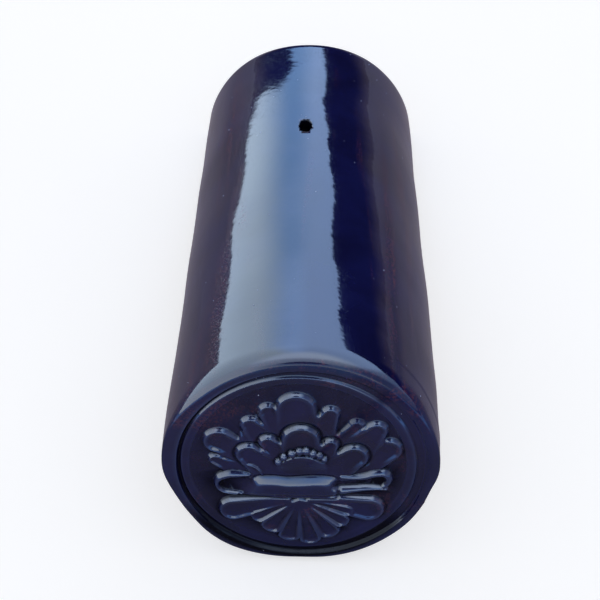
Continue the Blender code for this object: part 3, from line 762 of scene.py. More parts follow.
def build_tile_mesh(sizes):
    """The whole tile, before its nail hole. Returns the mesh and the number of points in the relief's web."""
    shell = Shell()
    ring, web_end = build_face(shell)
    half = OUTLINE_SIDES // 2 + 1
    length = sizes.barrel_length

    # rim and outside of the disc, down to its back edge
    for step in range(ROUND_STEPS + 1):
        row = shell.add(rim_row(step, sizes))
        if step == 0:
            shell.zip_rings(ring, row)
        else:
            shell.strip(ring, row, closed=True)
        ring = row
    for y in np.linspace(CROWN_ROUND[1], DISC_THICKNESS, DISC_SIDE_ROWS)[1:]:
        row = shell.add(outer_row(y, 0.0, DISC_LEAN, sizes))
        shell.strip(ring, row, closed=True)
        ring = row
    back_row = ring
    shell.harden(back_row[half - 1 :] + [back_row[0]])

    # outside of the barrel, pared near the disc
    outside = [back_row[:half]]
    near = list(DISC_THICKNESS + np.arange(1, CREASE_ROWS + 1) * CREASE_WIDTH * CREASE_ROW_SHARE)
    far = list(np.arange(near[-1] + ROW_SPACING, length - 2.0 * REAR_EDGE_ROUND, ROW_SPACING))
    for y in near + far:
        lean = math.atan(math.tan(DISC_LEAN) * float(smooth(LEAN_FADES, DISC_THICKNESS, y)))
        outside.append(shell.add(outer_row(y, 0.0, lean, sizes)[:half]))
    for back, inset in reversed(quarter_round(REAR_EDGE_ROUND, REAR_EDGE_ROUND, REAR_ROUND_STEPS)):
        outside.append(shell.add(half_row(sizes.barrel_radius - inset, length - back, 0.0)))

    # inside of the barrel, from the rear to the luting on the disc's back
    bore = sizes.barrel_radius - sizes.barrel_wall
    rear = quarter_round(REAR_EDGE_ROUND, REAR_EDGE_ROUND, REAR_ROUND_STEPS)
    inside = [shell.add(half_row(bore + inset, length - back, 0.0)) for back, inset in rear]
    luting = DISC_THICKNESS + LUTING_LEG
    for y in np.linspace(length - 2.0 * REAR_EDGE_ROUND, luting + ROW_SPACING, BORE_ROWS):
        inside.append(shell.add(half_row(bore, y, 0.0)))
    for t in np.linspace(0.0, math.pi / 2.0, LUTING_ROWS):
        reach = bore - LUTING_LEG * (1.0 - math.cos(t))
        inside.append(shell.add(half_row(reach, luting - LUTING_LEG * math.sin(t), DISC_LEAN)))
    rows = outside + inside
    for row, following in zip(rows[:-1], rows[1:]):
        shell.strip(row, following, closed=False)

    # the two long bedding edges and the disc's back
    right_edge = [row[0] for row in rows]
    left_edge = [row[-1] for row in rows]
    shell.faces.append(right_edge)
    shell.faces.append(left_edge)
    for edge in (right_edge, left_edge):
        shell.harden(edge[: len(outside) + REAR_ROUND_STEPS + 1])
        shell.harden(edge[len(outside) :])
    shell.faces.append(inside[-1] + back_row[half - 1 :] + [back_row[0]])
    return shell.mesh(TILE), web_end


def random_waves(points, wavelength, seed, count=24):
    """A smooth random field of about unit height: plane waves in random directions."""
    rng = np.random.default_rng(seed)
    field = np.zeros(len(points))
    for _ in range(count):
        direction = rng.normal(size=3)
        direction /= np.linalg.norm(direction)
        wave = 2.0 * math.pi / (wavelength * rng.uniform(*WAVE_SPREAD))
        field += np.sin(points @ direction * wave + rng.uniform(0.0, 2.0 * math.pi))
    return field * math.sqrt(2.0 / count)


def nail_hole_cutter(sizes):
    """A ragged oval bar through the crown, wider at the top where the glaze chipped off."""
    rng = np.random.default_rng(WAVE_SEED)
    turns = 2.0 * math.pi * np.arange(NAIL_HOLE_SIDES) / NAIL_HOLE_SIDES
    ragged = np.zeros(NAIL_HOLE_SIDES)
    chipped = np.zeros(NAIL_HOLE_SIDES)
    for k in range(2, 13):
        wave = rng.normal() * np.sin(k * turns + rng.uniform(0.0, NAIL_HOLE_PHASES))
        ragged += wave * NAIL_HOLE_RAGGED / math.sqrt(k)
        wave = rng.normal() * np.sin(k * turns + rng.uniform(0.0, NAIL_HOLE_PHASES))
        chipped += wave * NAIL_HOLE_CHIPPED / math.sqrt(k)
    shell = Shell()
    crown = sizes.barrel_radius
    bore = crown - sizes.barrel_wall
    # height, how much wider it is there, and how unevenly
    levels = (
        (crown + 0.0040, 0.0040, 0.0),
        (crown + 0.0002, 0.0011, 0.0007),
        (crown - 0.0005, 0.0003, 0.0002),
        (crown - 0.0012, 0.0, 0.0),
        (bore + 0.0015, 0.0002, 0.0),
        (bore - 0.0010, 0.0016, 0.0008),
        (bore - 0.0060, 0.0030, 0.0),
    )
    rows = []
    for z, wider, uneven in levels:
        grow = wider + uneven * chipped
        x = (NAIL_HOLE_WIDTH / 2.0 * (1.0 + ragged) + grow) * np.cos(turns) + NAIL_HOLE_SHIFT
        y = (NAIL_HOLE_LENGTH / 2.0 * (1.0 + ragged) + grow) * np.sin(turns) + NAIL_HOLE_FROM_FACE
        rows.append(shell.add(np.column_stack([x, y, np.full(NAIL_HOLE_SIDES, z)])))
    for row, following in zip(rows[:-1], rows[1:]):
        shell.strip(row, following, closed=True)
    shell.faces.append(rows[0])
    shell.faces.append(rows[-1])
    cutter = bpy.data.objects.new("nail_hole_cutter", shell.mesh("nail_hole_cutter"))
    bpy.context.scene.collection.objects.link(cutter)
    return cutter


def evaluated_mesh(thing, name):
    """The object's shape with its modifiers, as a plain mesh."""
    graph = bpy.context.evaluated_depsgraph_get()
    mesh = bpy.data.meshes.new_from_object(thing.evaluated_get(graph))
    mesh.name = name
    return mesh


def read_places(mesh):
    places = np.empty(len(mesh.vertices) * 3, np.float32)
    mesh.vertices.foreach_get("co", places)
    return places.reshape(-1, 3).astype(float)


def read_normals(mesh):
    normals = np.empty(len(mesh.vertices) * 3, np.float32)
    mesh.vertices.foreach_get("normal", normals)
    return normals.reshape(-1, 3).astype(float)


def write_attribute(mesh, name, values):
    layer = mesh.attributes.new(name, "FLOAT", "POINT")
    layer.data.foreach_set("value", np.asarray(values, np.float32))


def blurred(grid, cells):
    """The grid smoothed with a bell of that half width in cells."""
    reach = int(3 * cells)
    bell = np.exp(-0.5 * (np.arange(-reach, reach + 1) / cells) ** 2)
    bell /= bell.sum()
    for axis in (0, 1):
        wide = np.pad(grid, [(reach, reach) if k == axis else (0, 0) for k in (0, 1)], mode="edge")
        grid = np.apply_along_axis(lambda line: np.convolve(line, bell, "valid"), axis, wide)
    return grid


def relief_shade(across, up, spread):
    """How far the face stands over its surroundings at that spread, in millimetres: above 0 on ridges."""
    cell = READING_CELL
    half = LIP_RADIUS + READING_MARGIN
    line = np.arange(-half, half, cell)
    x, z = np.meshgrid(line, line, indexing="ij")
    level = -face_depth(x, z) * 1000.0
    over = level - blurred(level, spread / cell)
    i = np.clip((across + half) / cell, 0, len(line) - 2)
    k = np.clip((up + half) / cell, 0, len(line) - 2)
    i0 = i.astype(int)
    k0 = k.astype(int)
    a, b = i - i0, k - k0
    top = over[i0, k0] * (1 - a) + over[i0 + 1, k0] * a
    low = over[i0, k0 + 1] * (1 - a) + over[i0 + 1, k0 + 1] * a
    return top * (1 - b) + low * b


def inside_hole(places):
    """How far inside the nail hole a point is, and below 0 past its edge."""
    hole_x = (places[:, 0] - NAIL_HOLE_SHIFT) / (NAIL_HOLE_WIDTH / 2.0)
    hole_y = (places[:, 1] - NAIL_HOLE_FROM_FACE) / (NAIL_HOLE_LENGTH / 2.0)
    inside = np.where(places[:, 2] > 0.0, NAIL_HOLE_BARE - np.hypot(hole_x, hole_y), -1.0)
    return inside * NAIL_HOLE_WIDTH / 2.0


def plum_bloom(places):
    """Where the glaze fired plum: streaks on the right flank, a patch at the upper left and the shoulder."""
    x, y, z = places.T
    turn = np.degrees(np.arctan2(x, z))
    flank = bell(turn, *FLANK_TURN) * smooth(*FLANK_FADES, y)
    patch = bell(turn, *PATCH_TURN) * bell(y, *PATCH_PLACE)
    depth = y - z * math.tan(DISC_LEAN)
    back = SHOULDER_BACK[0] + SHOULDER_BACK[1] * smooth(*SHOULDER_TURNS, turn)
    upper = smooth(*SHOULDER_HEIGHTS, z) * (np.hypot(x, z) > SHOULDER_REACH)
    left, middle, kept = SHOULDER_SIDES
    shoulder = smooth(back, 0.5 * back, depth) * upper * (kept + (1.0 - kept) * smooth(left, middle, x))
    return np.maximum(np.maximum(flank, patch), shoulder)


def glaze_cover(places, sizes):
    """How far inside the glazed area a point is, in millimetres, and below 0 on bare clay."""
    x, y, z = places.T
    depth = y - z * math.tan(DISC_LEAN)
    on_disc = DISC_THICKNESS - STOPS_ON_DISC - depth
    around = np.hypot(x, z) - (sizes.barrel_radius - STOPS_INSIDE)
    before_end = sizes.barrel_length - STOPS_AT_REAR - y
    on_barrel = np.minimum(np.minimum(around, z - STOPS_OVER_EDGE), before_end)
    return np.maximum(np.maximum(on_disc, on_barrel), inside_hole(places)) * 1000.0


def mark_glaze(mesh, sizes):
    """Writes what the glaze needs to know: where it covers, runs thin, pools or is painted in shade, turned
    plum and has a film.
    """
    places = read_places(mesh)
    x, y, z = places.T
    across = x - RING_SHIFT_ACROSS
    up = z - RING_SHIFT_UP
    reach = np.hypot(across, up)
    depth = y - z * math.tan(DISC_LEAN)
    on_face = (reach < LIP_RADIUS) & (depth < FACE_REACH)
    fine = relief_shade(across, up, FINE_REACH) * on_face
    broad = relief_shade(across, up, BROAD_REACH) * on_face

    rim_depth, rim_width, rim_share = THIN_RIM
    rim = rim_share * bell(depth, rim_depth, rim_width) * (np.hypot(x, z) > LIP_RADIUS)
    rear = bell(sizes.barrel_length - y, *THIN_REAR)
    thin = np.clip(fine * THIN_FINE[0], 0.0, 1.0) * THIN_FINE[1]
    thin = thin + np.clip(broad * THIN_BROAD[0], 0.0, THIN_BROAD[1])

    # Pooled glaze and painted shade: hollows, the nail hole's inside and the groove low down darken to near
    # black
    pool = np.clip(-fine * POOL_AND_SHADE_FINE[0] - POOL_AND_SHADE_FINE[1], 0.0, POOL_AND_SHADE_FINE[2])
    pool = pool + np.clip(-broad * POOL_AND_SHADE_BROAD, 0.0, POOL_AND_SHADE_BROAD)
    pool = np.maximum(pool, inside_hole(places) > HOLE_POOL_AND_SHADE)
    lower = smooth(*POOL_AND_SHADE_TURNS, -up / np.maximum(reach, 0.001))
    band = smooth(*POOL_AND_SHADE_INNER, reach) * smooth(*POOL_AND_SHADE_OUTER, reach)
    pool = np.maximum(pool, lower * band * (depth < FACE_REACH))

    turn = np.degrees(np.abs(np.arctan2(x, z)))
    film = smooth(*FILM_TURNS, turn) * (1.0 - on_face) * (y > FILM_FROM_FACE)
    write_attribute(mesh, "glaze_thin", np.clip(thin + rim + rear, 0.0, 1.0))
    write_attribute(mesh, "glaze_pool_and_shade", np.clip(pool, 0.0, 1.0))
    write_attribute(mesh, "glaze_bloom", plum_bloom(places))
    write_attribute(mesh, "glaze_film", film)
    write_attribute(mesh, "glaze_cover", glaze_cover(places, sizes))


def resting_matrix(mesh, sizes):
    """Lays the tile from its own axes on the floor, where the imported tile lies."""
    sink = -outer_row(DISC_THICKNESS, 0.0, DISC_LEAN, sizes)[:, 2].min()
    run = sizes.barrel_length - (DISC_THICKNESS - sink * math.tan(DISC_LEAN))
    tilt = math.atan2(sink, run)
    turned = Matrix.Rotation(-tilt, 4, "X")
    places = read_places(mesh) @ np.array(turned.to_3x3()).T
    low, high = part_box(TILE)
    middle_x = (places[:, 0].min() + places[:, 0].max()) / 2.0
    to_x = (low.x + high.x) / 2.0 - middle_x
    shift = Vector((to_x, low.y - places[:, 1].min(), low.z - places[:, 2].min()))
    return Matrix.Translation(shift) @ turned


# Node trees


def add_node(tree, kind, inputs=(), **settings):
    """Adds a node, with values or sockets for its inputs by number or name, and gives the node."""
    node = tree.nodes.new(kind)
    for name, value in settings.items():
        setattr(node, name, value)
    pairs = inputs.items() if isinstance(inputs, dict) else enumerate(inputs)
    for key, value in pairs:
        if isinstance(value, bpy.types.NodeSocket):
            tree.links.new(value, node.inputs[key])
        else:
            node.inputs[key].default_value = value
    return node


def maths(tree, operation, *inputs, clamp=False):
    return add_node(tree, "ShaderNodeMath", inputs, operation=operation, use_clamp=clamp).outputs[0]


def product(tree, first, *others):
    for other in others:
        first = maths(tree, "MULTIPLY", first, other)
    return first


def total(tree, first, *others):
    for other in others:
        first = maths(tree, "ADD", first, other)
    return first


def less(tree, first, second):
    return maths(tree, "SUBTRACT", first, second)


def noise(tree, place, *kind):
    values = dict(zip(("Scale", "Detail", "Roughness", "Distortion"), kind), Vector=place)
    return add_node(tree, "ShaderNodeTexNoise", values).outputs["Fac"]


def stretched(tree, place, scale):
    return add_node(tree, "ShaderNodeMapping", {"Vector": place, "Scale": scale}).outputs[0]


def ramp(tree, value, low, high, to_low=0.0, to_high=1.0):
    values = {"Value": value, "From Min": low, "From Max": high, "To Min": to_low, "To Max": to_high}
    return add_node(tree, "ShaderNodeMapRange", values, interpolation_type="SMOOTHSTEP").outputs[0]


def patches(tree, place, pattern):
    """A pattern of soft patches: 0 between them, and as strong as it says inside them."""
    kind, levels, strength = pattern
    return ramp(tree, noise(tree, place, *kind), *levels, 0.0, strength)


def vector_maths(tree, operation, *inputs):
    return add_node(tree, "ShaderNodeVectorMath", inputs, operation=operation).outputs


def parts_of(tree, vector):
    return add_node(tree, "ShaderNodeSeparateXYZ", (vector,)).outputs


def blend_colours(tree, share, first, second):
    node = add_node(tree, "ShaderNodeMix", data_type="RGBA")
    for key, value in (("Factor", share), ("A", first), ("B", second)):
        number = [k for k, socket in enumerate(node.inputs) if socket.name == key and socket.enabled][0]
        if isinstance(value, bpy.types.NodeSocket):
            tree.links.new(value, node.inputs[number])
        else:
            node.inputs[number].default_value = value
    return [socket for socket in node.outputs if socket.enabled][0]


def attribute(tree, name):
    return add_node(tree, "ShaderNodeAttribute", attribute_name=name).outputs["Fac"]


def new_group(name, inputs, outputs):
    """An empty shader node group with those sockets: (name, kind, default)."""
    group = bpy.data.node_groups.new(name, "ShaderNodeTree")
    for label, kind, default in inputs:
        socket = group.interface.new_socket(label, in_out="INPUT", socket_type=kind)
        if default is not None:
            socket.default_value = default
    for label, kind in outputs:
        group.interface.new_socket(label, in_out="OUTPUT", socket_type=kind)
    return group, group.nodes.new("NodeGroupInput"), group.nodes.new("NodeGroupOutput")


def drift_group():
    """Slow and fine drift of a fired colour between two shades."""
    inputs = (
        ("Place", "NodeSocketVector", None),
        ("Deep", "NodeSocketColor", (0.0, 0.0, 0.0, 1.0)),
        ("Light", "NodeSocketColor", (1.0, 1.0, 1.0, 1.0)),
        ("Cloud Scale", "NodeSocketFloat", 22.0),
        ("Grain Scale", "NodeSocketFloat", 900.0),
        ("Grain", "NodeSocketFloat", 0.25),
    )
    outputs = (("Color", "NodeSocketColor"), ("Mask", "NodeSocketFloat"))
    group, given, result = new_group("fired_colour_drift", inputs, outputs)
    cloud = noise(group, given.outputs["Place"], given.outputs["Cloud Scale"], 4.0, 0.55, 0.4)
    grain = noise(group, given.outputs["Place"], given.outputs["Grain Scale"], 2.0, 0.6)
    grained = product(group, less(group, grain, 0.5), given.outputs["Grain"])
    mask = maths(group, "ADD", ramp(group, cloud, 0.32, 0.68), grained, clamp=True)
    colour = blend_colours(group, mask, given.outputs["Deep"], given.outputs["Light"])
    group.links.new(colour, result.inputs["Color"])
    group.links.new(mask, result.inputs["Mask"])
    return group


def place_group(tree, group, **values):
    node = add_node(tree, "ShaderNodeGroup", node_tree=group)
    for key, value in values.items():
        socket = node.inputs[key.replace("_", " ").title()]
        if isinstance(value, bpy.types.NodeSocket):
            tree.links.new(value, socket)
        else:
            socket.default_value = value
    return node


def new_material(name):
    material = bpy.data.materials.new(name)
    material.use_nodes = True
    return material, material.node_tree, material.node_tree.nodes["Principled BSDF"]


def tile_axes_place(tree, tilt):
    """Object coordinates turned back to the tile's own axes."""
    where = add_node(tree, "ShaderNodeTexCoord").outputs["Object"]
    return add_node(tree, "ShaderNodeMapping", {"Vector": where, "Rotation": (tilt, 0.0, 0.0)}).outputs[0]


def glaze_colour(tree, colours, drift, place, plum):
    """The glaze's colour: cobalt, plum, filmed, thin on edges, pooled and painted in shade in hollows,
    chipped round the hole.
    """
    along = stretched(tree, place, ALONG)
    base = place_group(
        tree, drift, place=place, deep=colours.deep, light=colours.body, cloud_scale=24.0, grain=0.3
    )
    colour = blend_colours(tree, patches(tree, along, STREAKS), base.outputs["Color"], colours.body)
    colour = blend_colours(tree, product(tree, plum, PLUM_SHOWS), colour, colours.plum)
    film = product(tree, patches(tree, along, FILM_STREAKS), attribute(tree, "glaze_film"))
    colour = blend_colours(tree, film, colour, colours.film)
    thin = product(tree, attribute(tree, "glaze_thin"), THIN_SHOWS)
    colour = blend_colours(tree, thin, colour, colours.thin)
    colour = blend_colours(tree, attribute(tree, "glaze_pool_and_shade"), colour, colours.pool)
    return blend_colours(tree, chips_round_hole(tree, place), colour, colours.speck)


def chips_round_hole(tree, place):
    """A broken ring round the nail hole on the outside, strongest at its right rear."""
    from_hole = vector_maths(tree, "SUBTRACT", place, NAIL_HOLE_PLACE)[0]
    toward = stretched(tree, from_hole, (2.0 / NAIL_HOLE_WIDTH, 2.0 / NAIL_HOLE_LENGTH, 0.0))
    around = vector_maths(tree, "LENGTH", toward)["Value"]
    ring = product(tree, ramp(tree, around, *CHIPS_START), ramp(tree, around, *CHIPS_END))
    sides = parts_of(tree, toward)
    grown = ramp(tree, total(tree, sides["X"], sides["Y"]), *CHIPS_GROW)
    outside = ramp(tree, parts_of(tree, place)["Z"], *CHIPS_OUTSIDE)
    return product(tree, ring, grown, patches(tree, place, CHIPS), outside)


def skin_height(tree, place, covered, marks):
    """Relief of the skin: a faint orange peel and pits on the glaze, sand on the clay."""
    peel = product(tree, noise(tree, place, *PEEL_NOISE), PEEL_HEIGHT)
    pits = product(tree, patches(tree, place, PITS), -PIT_DEPTH, total(tree, marks, PITS_IN_PLAIN_GLAZE))
    sand = product(tree, noise(tree, place, *SAND_NOISE), SAND_HEIGHT)
    glazed = product(tree, total(tree, peel, pits, GLAZE_HEIGHT), covered)
    return total(tree, glazed, product(tree, sand, less(tree, 1.0, covered)))


def glaze_material(colours, drift, tilt):
    """Dark cobalt glaze that runs thin on edges and pools in hollows, painted darker there as shade, over
    bare clay where it stops.
    """
    material, tree, shader = new_material("cobalt_glaze_on_clay")
    place = tile_axes_place(tree, tilt)
    along = stretched(tree, place, ALONG)
    bloom = attribute(tree, "glaze_bloom")
    pool = attribute(tree, "glaze_pool_and_shade")
    streaked = product(tree, bloom, patches(tree, along, PLUM_STREAKS))
    cloudy = maths(tree, "MAXIMUM", patches(tree, along, PLUM_CLOUDS), streaked)
    plum = product(tree, cloudy, patches(tree, place, PLUM_SPECKLE))

    # colour, with a ragged line where the glaze stops
    clay = place_group(
        tree, drift, place=place, deep=colours.clay_dark, light=colours.clay,
        cloud_scale=18.0, grain_scale=1400.0, grain=0.9,
    )
    wander = product(tree, less(tree, noise(tree, place, *STOP_NOISE), 0.5), STOP_WANDERS)
    line = total(tree, attribute(tree, "glaze_cover"), wander)
    covered = ramp(tree, line, -STOP_SOFTNESS, STOP_SOFTNESS)
    colour = glaze_colour(tree, colours, drift, place, plum)
    tree.links.new(blend_colours(tree, covered, clay.outputs["Color"], colour), shader.inputs["Base Color"])

    # gloss: duller where it is scuffed, plum, or pooled and painted in shade
    marks = total(tree, plum, pool)
    scuffed = patches(tree, along, SCUFFS)
    gloss = total(tree, GLAZE_ROUGHNESS, scuffed, product(tree, marks, MARKED_ROUGHNESS))
    bare = product(tree, less(tree, 1.0, covered), CLAY_ROUGHNESS)
    tree.links.new(total(tree, bare, product(tree, gloss, covered)), shader.inputs["Roughness"])
    dulled = less(tree, 1.0, product(tree, bloom, PLUM_DULLS))
    mirror = product(tree, ramp(tree, pool, 0.0, 1.0, GLAZE_MIRROR, POOL_AND_SHADE_MIRROR), dulled)
    tree.links.new(mirror, shader.inputs["Specular IOR Level"])

    height = skin_height(tree, place, covered, marks)
    bump = add_node(tree, "ShaderNodeBump", {"Height": height, "Strength": 1.0, "Distance": 1.0})
    tree.links.new(bump.outputs["Normal"], shader.inputs["Normal"])
    shader.inputs["IOR"].default_value = 1.5
    return material


def speck_material(colours, drift):
    """Pale grit caught in the glaze."""
    material, tree, shader = new_material("pale_grit")
    where = add_node(tree, "ShaderNodeTexCoord").outputs["Object"]
    base = place_group(
        tree, drift, place=where, deep=colours.speck_dark, light=colours.speck, cloud_scale=260.0
    )
    tree.links.new(base.outputs["Color"], shader.inputs["Base Color"])
    rough = ramp(tree, base.outputs["Mask"], 0.0, 1.0, *GRIT_ROUGHNESS)
    tree.links.new(rough, shader.inputs["Roughness"])
    return material


def floor_material(colours):
    """Pale matt floor, with its own colours where the glaze mirrors it: painted shadow, near and painted
    glow.
    """
    material, tree, shader = new_material("pale_floor")
    where = add_node(tree, "ShaderNodeTexCoord").outputs["Object"]
    darker = tuple(FLOOR_DARKER * part for part in colours.floor[:3]) + (1.0,)
    shade = blend_colours(tree, patches(tree, where, FLOOR_CLOUDS), colours.floor, darker)
    shader.inputs["Roughness"].default_value = FLOOR_ROUGHNESS
    shader.inputs["Specular IOR Level"].default_value = FLOOR_MIRROR
    path = add_node(tree, "ShaderNodeLightPath")
    mirrored = path.outputs["Is Glossy Ray"]
    along = parts_of(tree, where)["Y"]
    far = ramp(tree, along, *OPEN_FLOOR)
    # painted shadow of the tile on the floor, seen only in the glaze's reflections
    near = product(tree, ramp(tree, along, *SHADE_ENDS), ramp(tree, along, *SHADE_STARTS))
    dim = blend_colours(tree, near, colours.floor_mirrored, colours.floor_painted_shade)
    # painted light: the open floor turns blue and glows only in the glaze's reflections
    dim = blend_colours(tree, far, dim, colours.floor_painted_glow)
    glow_colour = blend_colours(tree, mirrored, (1.0, 1.0, 1.0, 1.0), colours.floor_painted_glow)
    glow = product(tree, mirrored, far, OPEN_FLOOR_GLOW)
    strength = total(tree, product(tree, path.outputs["Is Camera Ray"], SEEN_FLOOR_GLOW), glow)
    tree.links.new(blend_colours(tree, mirrored, shade, dim), shader.inputs["Base Color"])
    tree.links.new(glow_colour, shader.inputs["Emission Color"])
    tree.links.new(strength, shader.inputs["Emission Strength"])
    return material


# Speckles, spread by Geometry Nodes


def scatter_tree(name, material):
    """A node tree that strews small flattened beads over the faces given, more where speck_share is high."""
    tree = bpy.data.node_groups.new(name, "GeometryNodeTree")
    tree.interface.new_socket("Geometry", in_out="INPUT", socket_type="NodeSocketGeometry")
    for label, kind, default in (
        ("Density", "NodeSocketFloat", 600.0),
        ("Smallest", "NodeSocketFloat", 0.4),
        ("Largest", "NodeSocketFloat", 1.0),
        ("Bead Radius", "NodeSocketFloat", 0.0005),
        ("Flatness", "NodeSocketFloat", 0.4),
        ("Seed", "NodeSocketInt", 3),
    ):
        tree.interface.new_socket(label, in_out="INPUT", socket_type=kind).default_value = default
    tree.interface.new_socket("Geometry", in_out="OUTPUT", socket_type="NodeSocketGeometry")
    given = tree.nodes.new("NodeGroupInput")
    result = tree.nodes.new("NodeGroupOutput")
    mask = add_node(tree, "GeometryNodeInputNamedAttribute", {"Name": "speck_share"}, data_type="FLOAT")
    density = product(tree, mask.outputs["Attribute"], given.outputs["Density"])
    values = {"Mesh": given.outputs["Geometry"], "Seed": given.outputs["Seed"]}
    spread = add_node(tree, "GeometryNodeDistributePointsOnFaces", values)
    tree.links.new(density, spread.inputs["Density"])
    values = {"Radius": given.outputs["Bead Radius"], "Subdivisions": 1}
    bead = add_node(tree, "GeometryNodeMeshIcoSphere", values)
    flat = add_node(tree, "ShaderNodeCombineXYZ", (1.0, 1.0, given.outputs["Flatness"]))
    squashed = add_node(tree, "GeometryNodeTransform", {"Geometry": bead.outputs["Mesh"]})
    tree.links.new(flat.outputs[0], squashed.inputs["Scale"])
    size = add_node(tree, "FunctionNodeRandomValue", data_type="FLOAT")
    floats = [socket for socket in size.inputs if socket.type == "VALUE" and socket.enabled]
    tree.links.new(given.outputs["Smallest"], floats[0])
    tree.links.new(given.outputs["Largest"], floats[1])
    tree.links.new(given.outputs["Seed"], size.inputs["Seed"])
    scale = [socket for socket in size.outputs if socket.enabled][0]
    values = {
        "Points": spread.outputs["Points"],
        "Instance": squashed.outputs["Geometry"],
        "Rotation": spread.outputs["Rotation"],
        "Scale": scale,
    }
    strewn = add_node(tree, "GeometryNodeInstanceOnPoints", values)
    real = add_node(tree, "GeometryNodeRealizeInstances", {"Geometry": strewn.outputs["Instances"]})
    values = {"Geometry": real.outputs["Geometry"], "Material": material}
    dressed = add_node(tree, "GeometryNodeSetMaterial", values)
    tree.links.new(dressed.outputs["Geometry"], result.inputs["Geometry"])
    return tree


def strew(name, carrier, share, material, **values):
    """Beads over the carrier as a plain mesh, with more where share is high."""
    mesh = carrier.data.copy()
    write_attribute(mesh, "speck_share", share)
    thing = bpy.data.objects.new(name, mesh)
    bpy.context.scene.collection.objects.link(thing)
    tree = scatter_tree(name + "_spread", material)
    modifier = thing.modifiers.new("spread", "NODES")
    modifier.node_group = tree
    inputs = [item for item in tree.interface.items_tree if item.in_out == "INPUT"]
    sockets = {item.name: item.identifier for item in inputs}
    for key, value in values.items():
        modifier[sockets[key.replace("_", " ").title()]] = value
    finished = evaluated_mesh(thing, name)
    thing.modifiers.clear()
    thing.data = finished
    bpy.data.meshes.remove(mesh)
    finished.shade_smooth()
    return thing


# Settings, operators and panel


def length_setting(name, description, default):
    return bpy.props.FloatProperty(
        name=name, description=description, default=default, min=0.001, unit="LENGTH", precision=4
    )


def colour_setting(name, description, default):
    return bpy.props.FloatVectorProperty(
        name=name, description=description, default=default + (1.0,), size=4,
        min=0.0, max=1.0, subtype="COLOR",
    )


class EaveTileSizes(bpy.types.PropertyGroup):
    """Main sizes of the tile."""

    barrel_length: length_setting("Barrel length", "From the disc's face to the open end", 0.352)
    barrel_radius: length_setting("Barrel radius", "From the barrel's axis to its outside", 0.080)
    barrel_wall: length_setting("Wall", "Thickness of the barrel's wall", 0.015)


class EaveTileColours(bpy.types.PropertyGroup):
    """Colours of the glaze, the clay and the stage."""

    body: colour_setting("Glaze", "Cobalt glaze at its usual thickness", (0.0060, 0.0078, 0.0640))
    deep: colour_setting("Deep glaze", "Glaze where it is thick", (0.0038, 0.0042, 0.0350))
    thin: colour_setting("Thin glaze", "Glaze that has run thin over an edge", (0.0300, 0.0480, 0.1350))
    # Near black of pooled glaze and painted shade, in hollows, the nail hole and low in the groove
    pool: colour_setting("Pooled glaze", "Glaze gathered in a hollow", (0.0022, 0.0020, 0.0070))
    plum: colour_setting("Plum speckle", "Reddish bloom in the glaze", (0.0950, 0.0260, 0.0480))
    film: colour_setting("Film", "Dull weathered film on the flanks", (0.1900, 0.1700, 0.2200))
    clay: colour_setting("Clay", "Bare fired clay", (0.4700, 0.3000, 0.1900))
    clay_dark: colour_setting("Dark clay", "Bare clay that fired darker", (0.3000, 0.1750, 0.1050))
    speck: colour_setting("Grit", "Pale grit in the glaze", (0.4200, 0.4600, 0.6200))
    speck_dark: colour_setting("Dark grit", "Grit under a skin of glaze", (0.1200, 0.1500, 0.2800))
    floor: colour_setting("Floor", "Studio floor", (0.6800, 0.6800, 0.6700))
    floor_mirrored: colour_setting(
        "Mirrored floor", "Floor near the tile, as the glaze mirrors it", (0.4700, 0.4100, 0.4500)
    )
    # Painted shadow: the floor by the tile, darker only where the glaze mirrors it
    floor_painted_shade: colour_setting(
        "Floor by the tile", "Floor in the tile's shade, as the glaze mirrors it", (0.3200, 0.3100, 0.3200)
    )
    # Painted glow: the open floor glows this colour only where the glaze mirrors it
    floor_painted_glow: colour_setting(
        "Far floor", "Floor farther out in front, as the glaze mirrors it", (0.2300, 0.4600, 1.0000)
    )


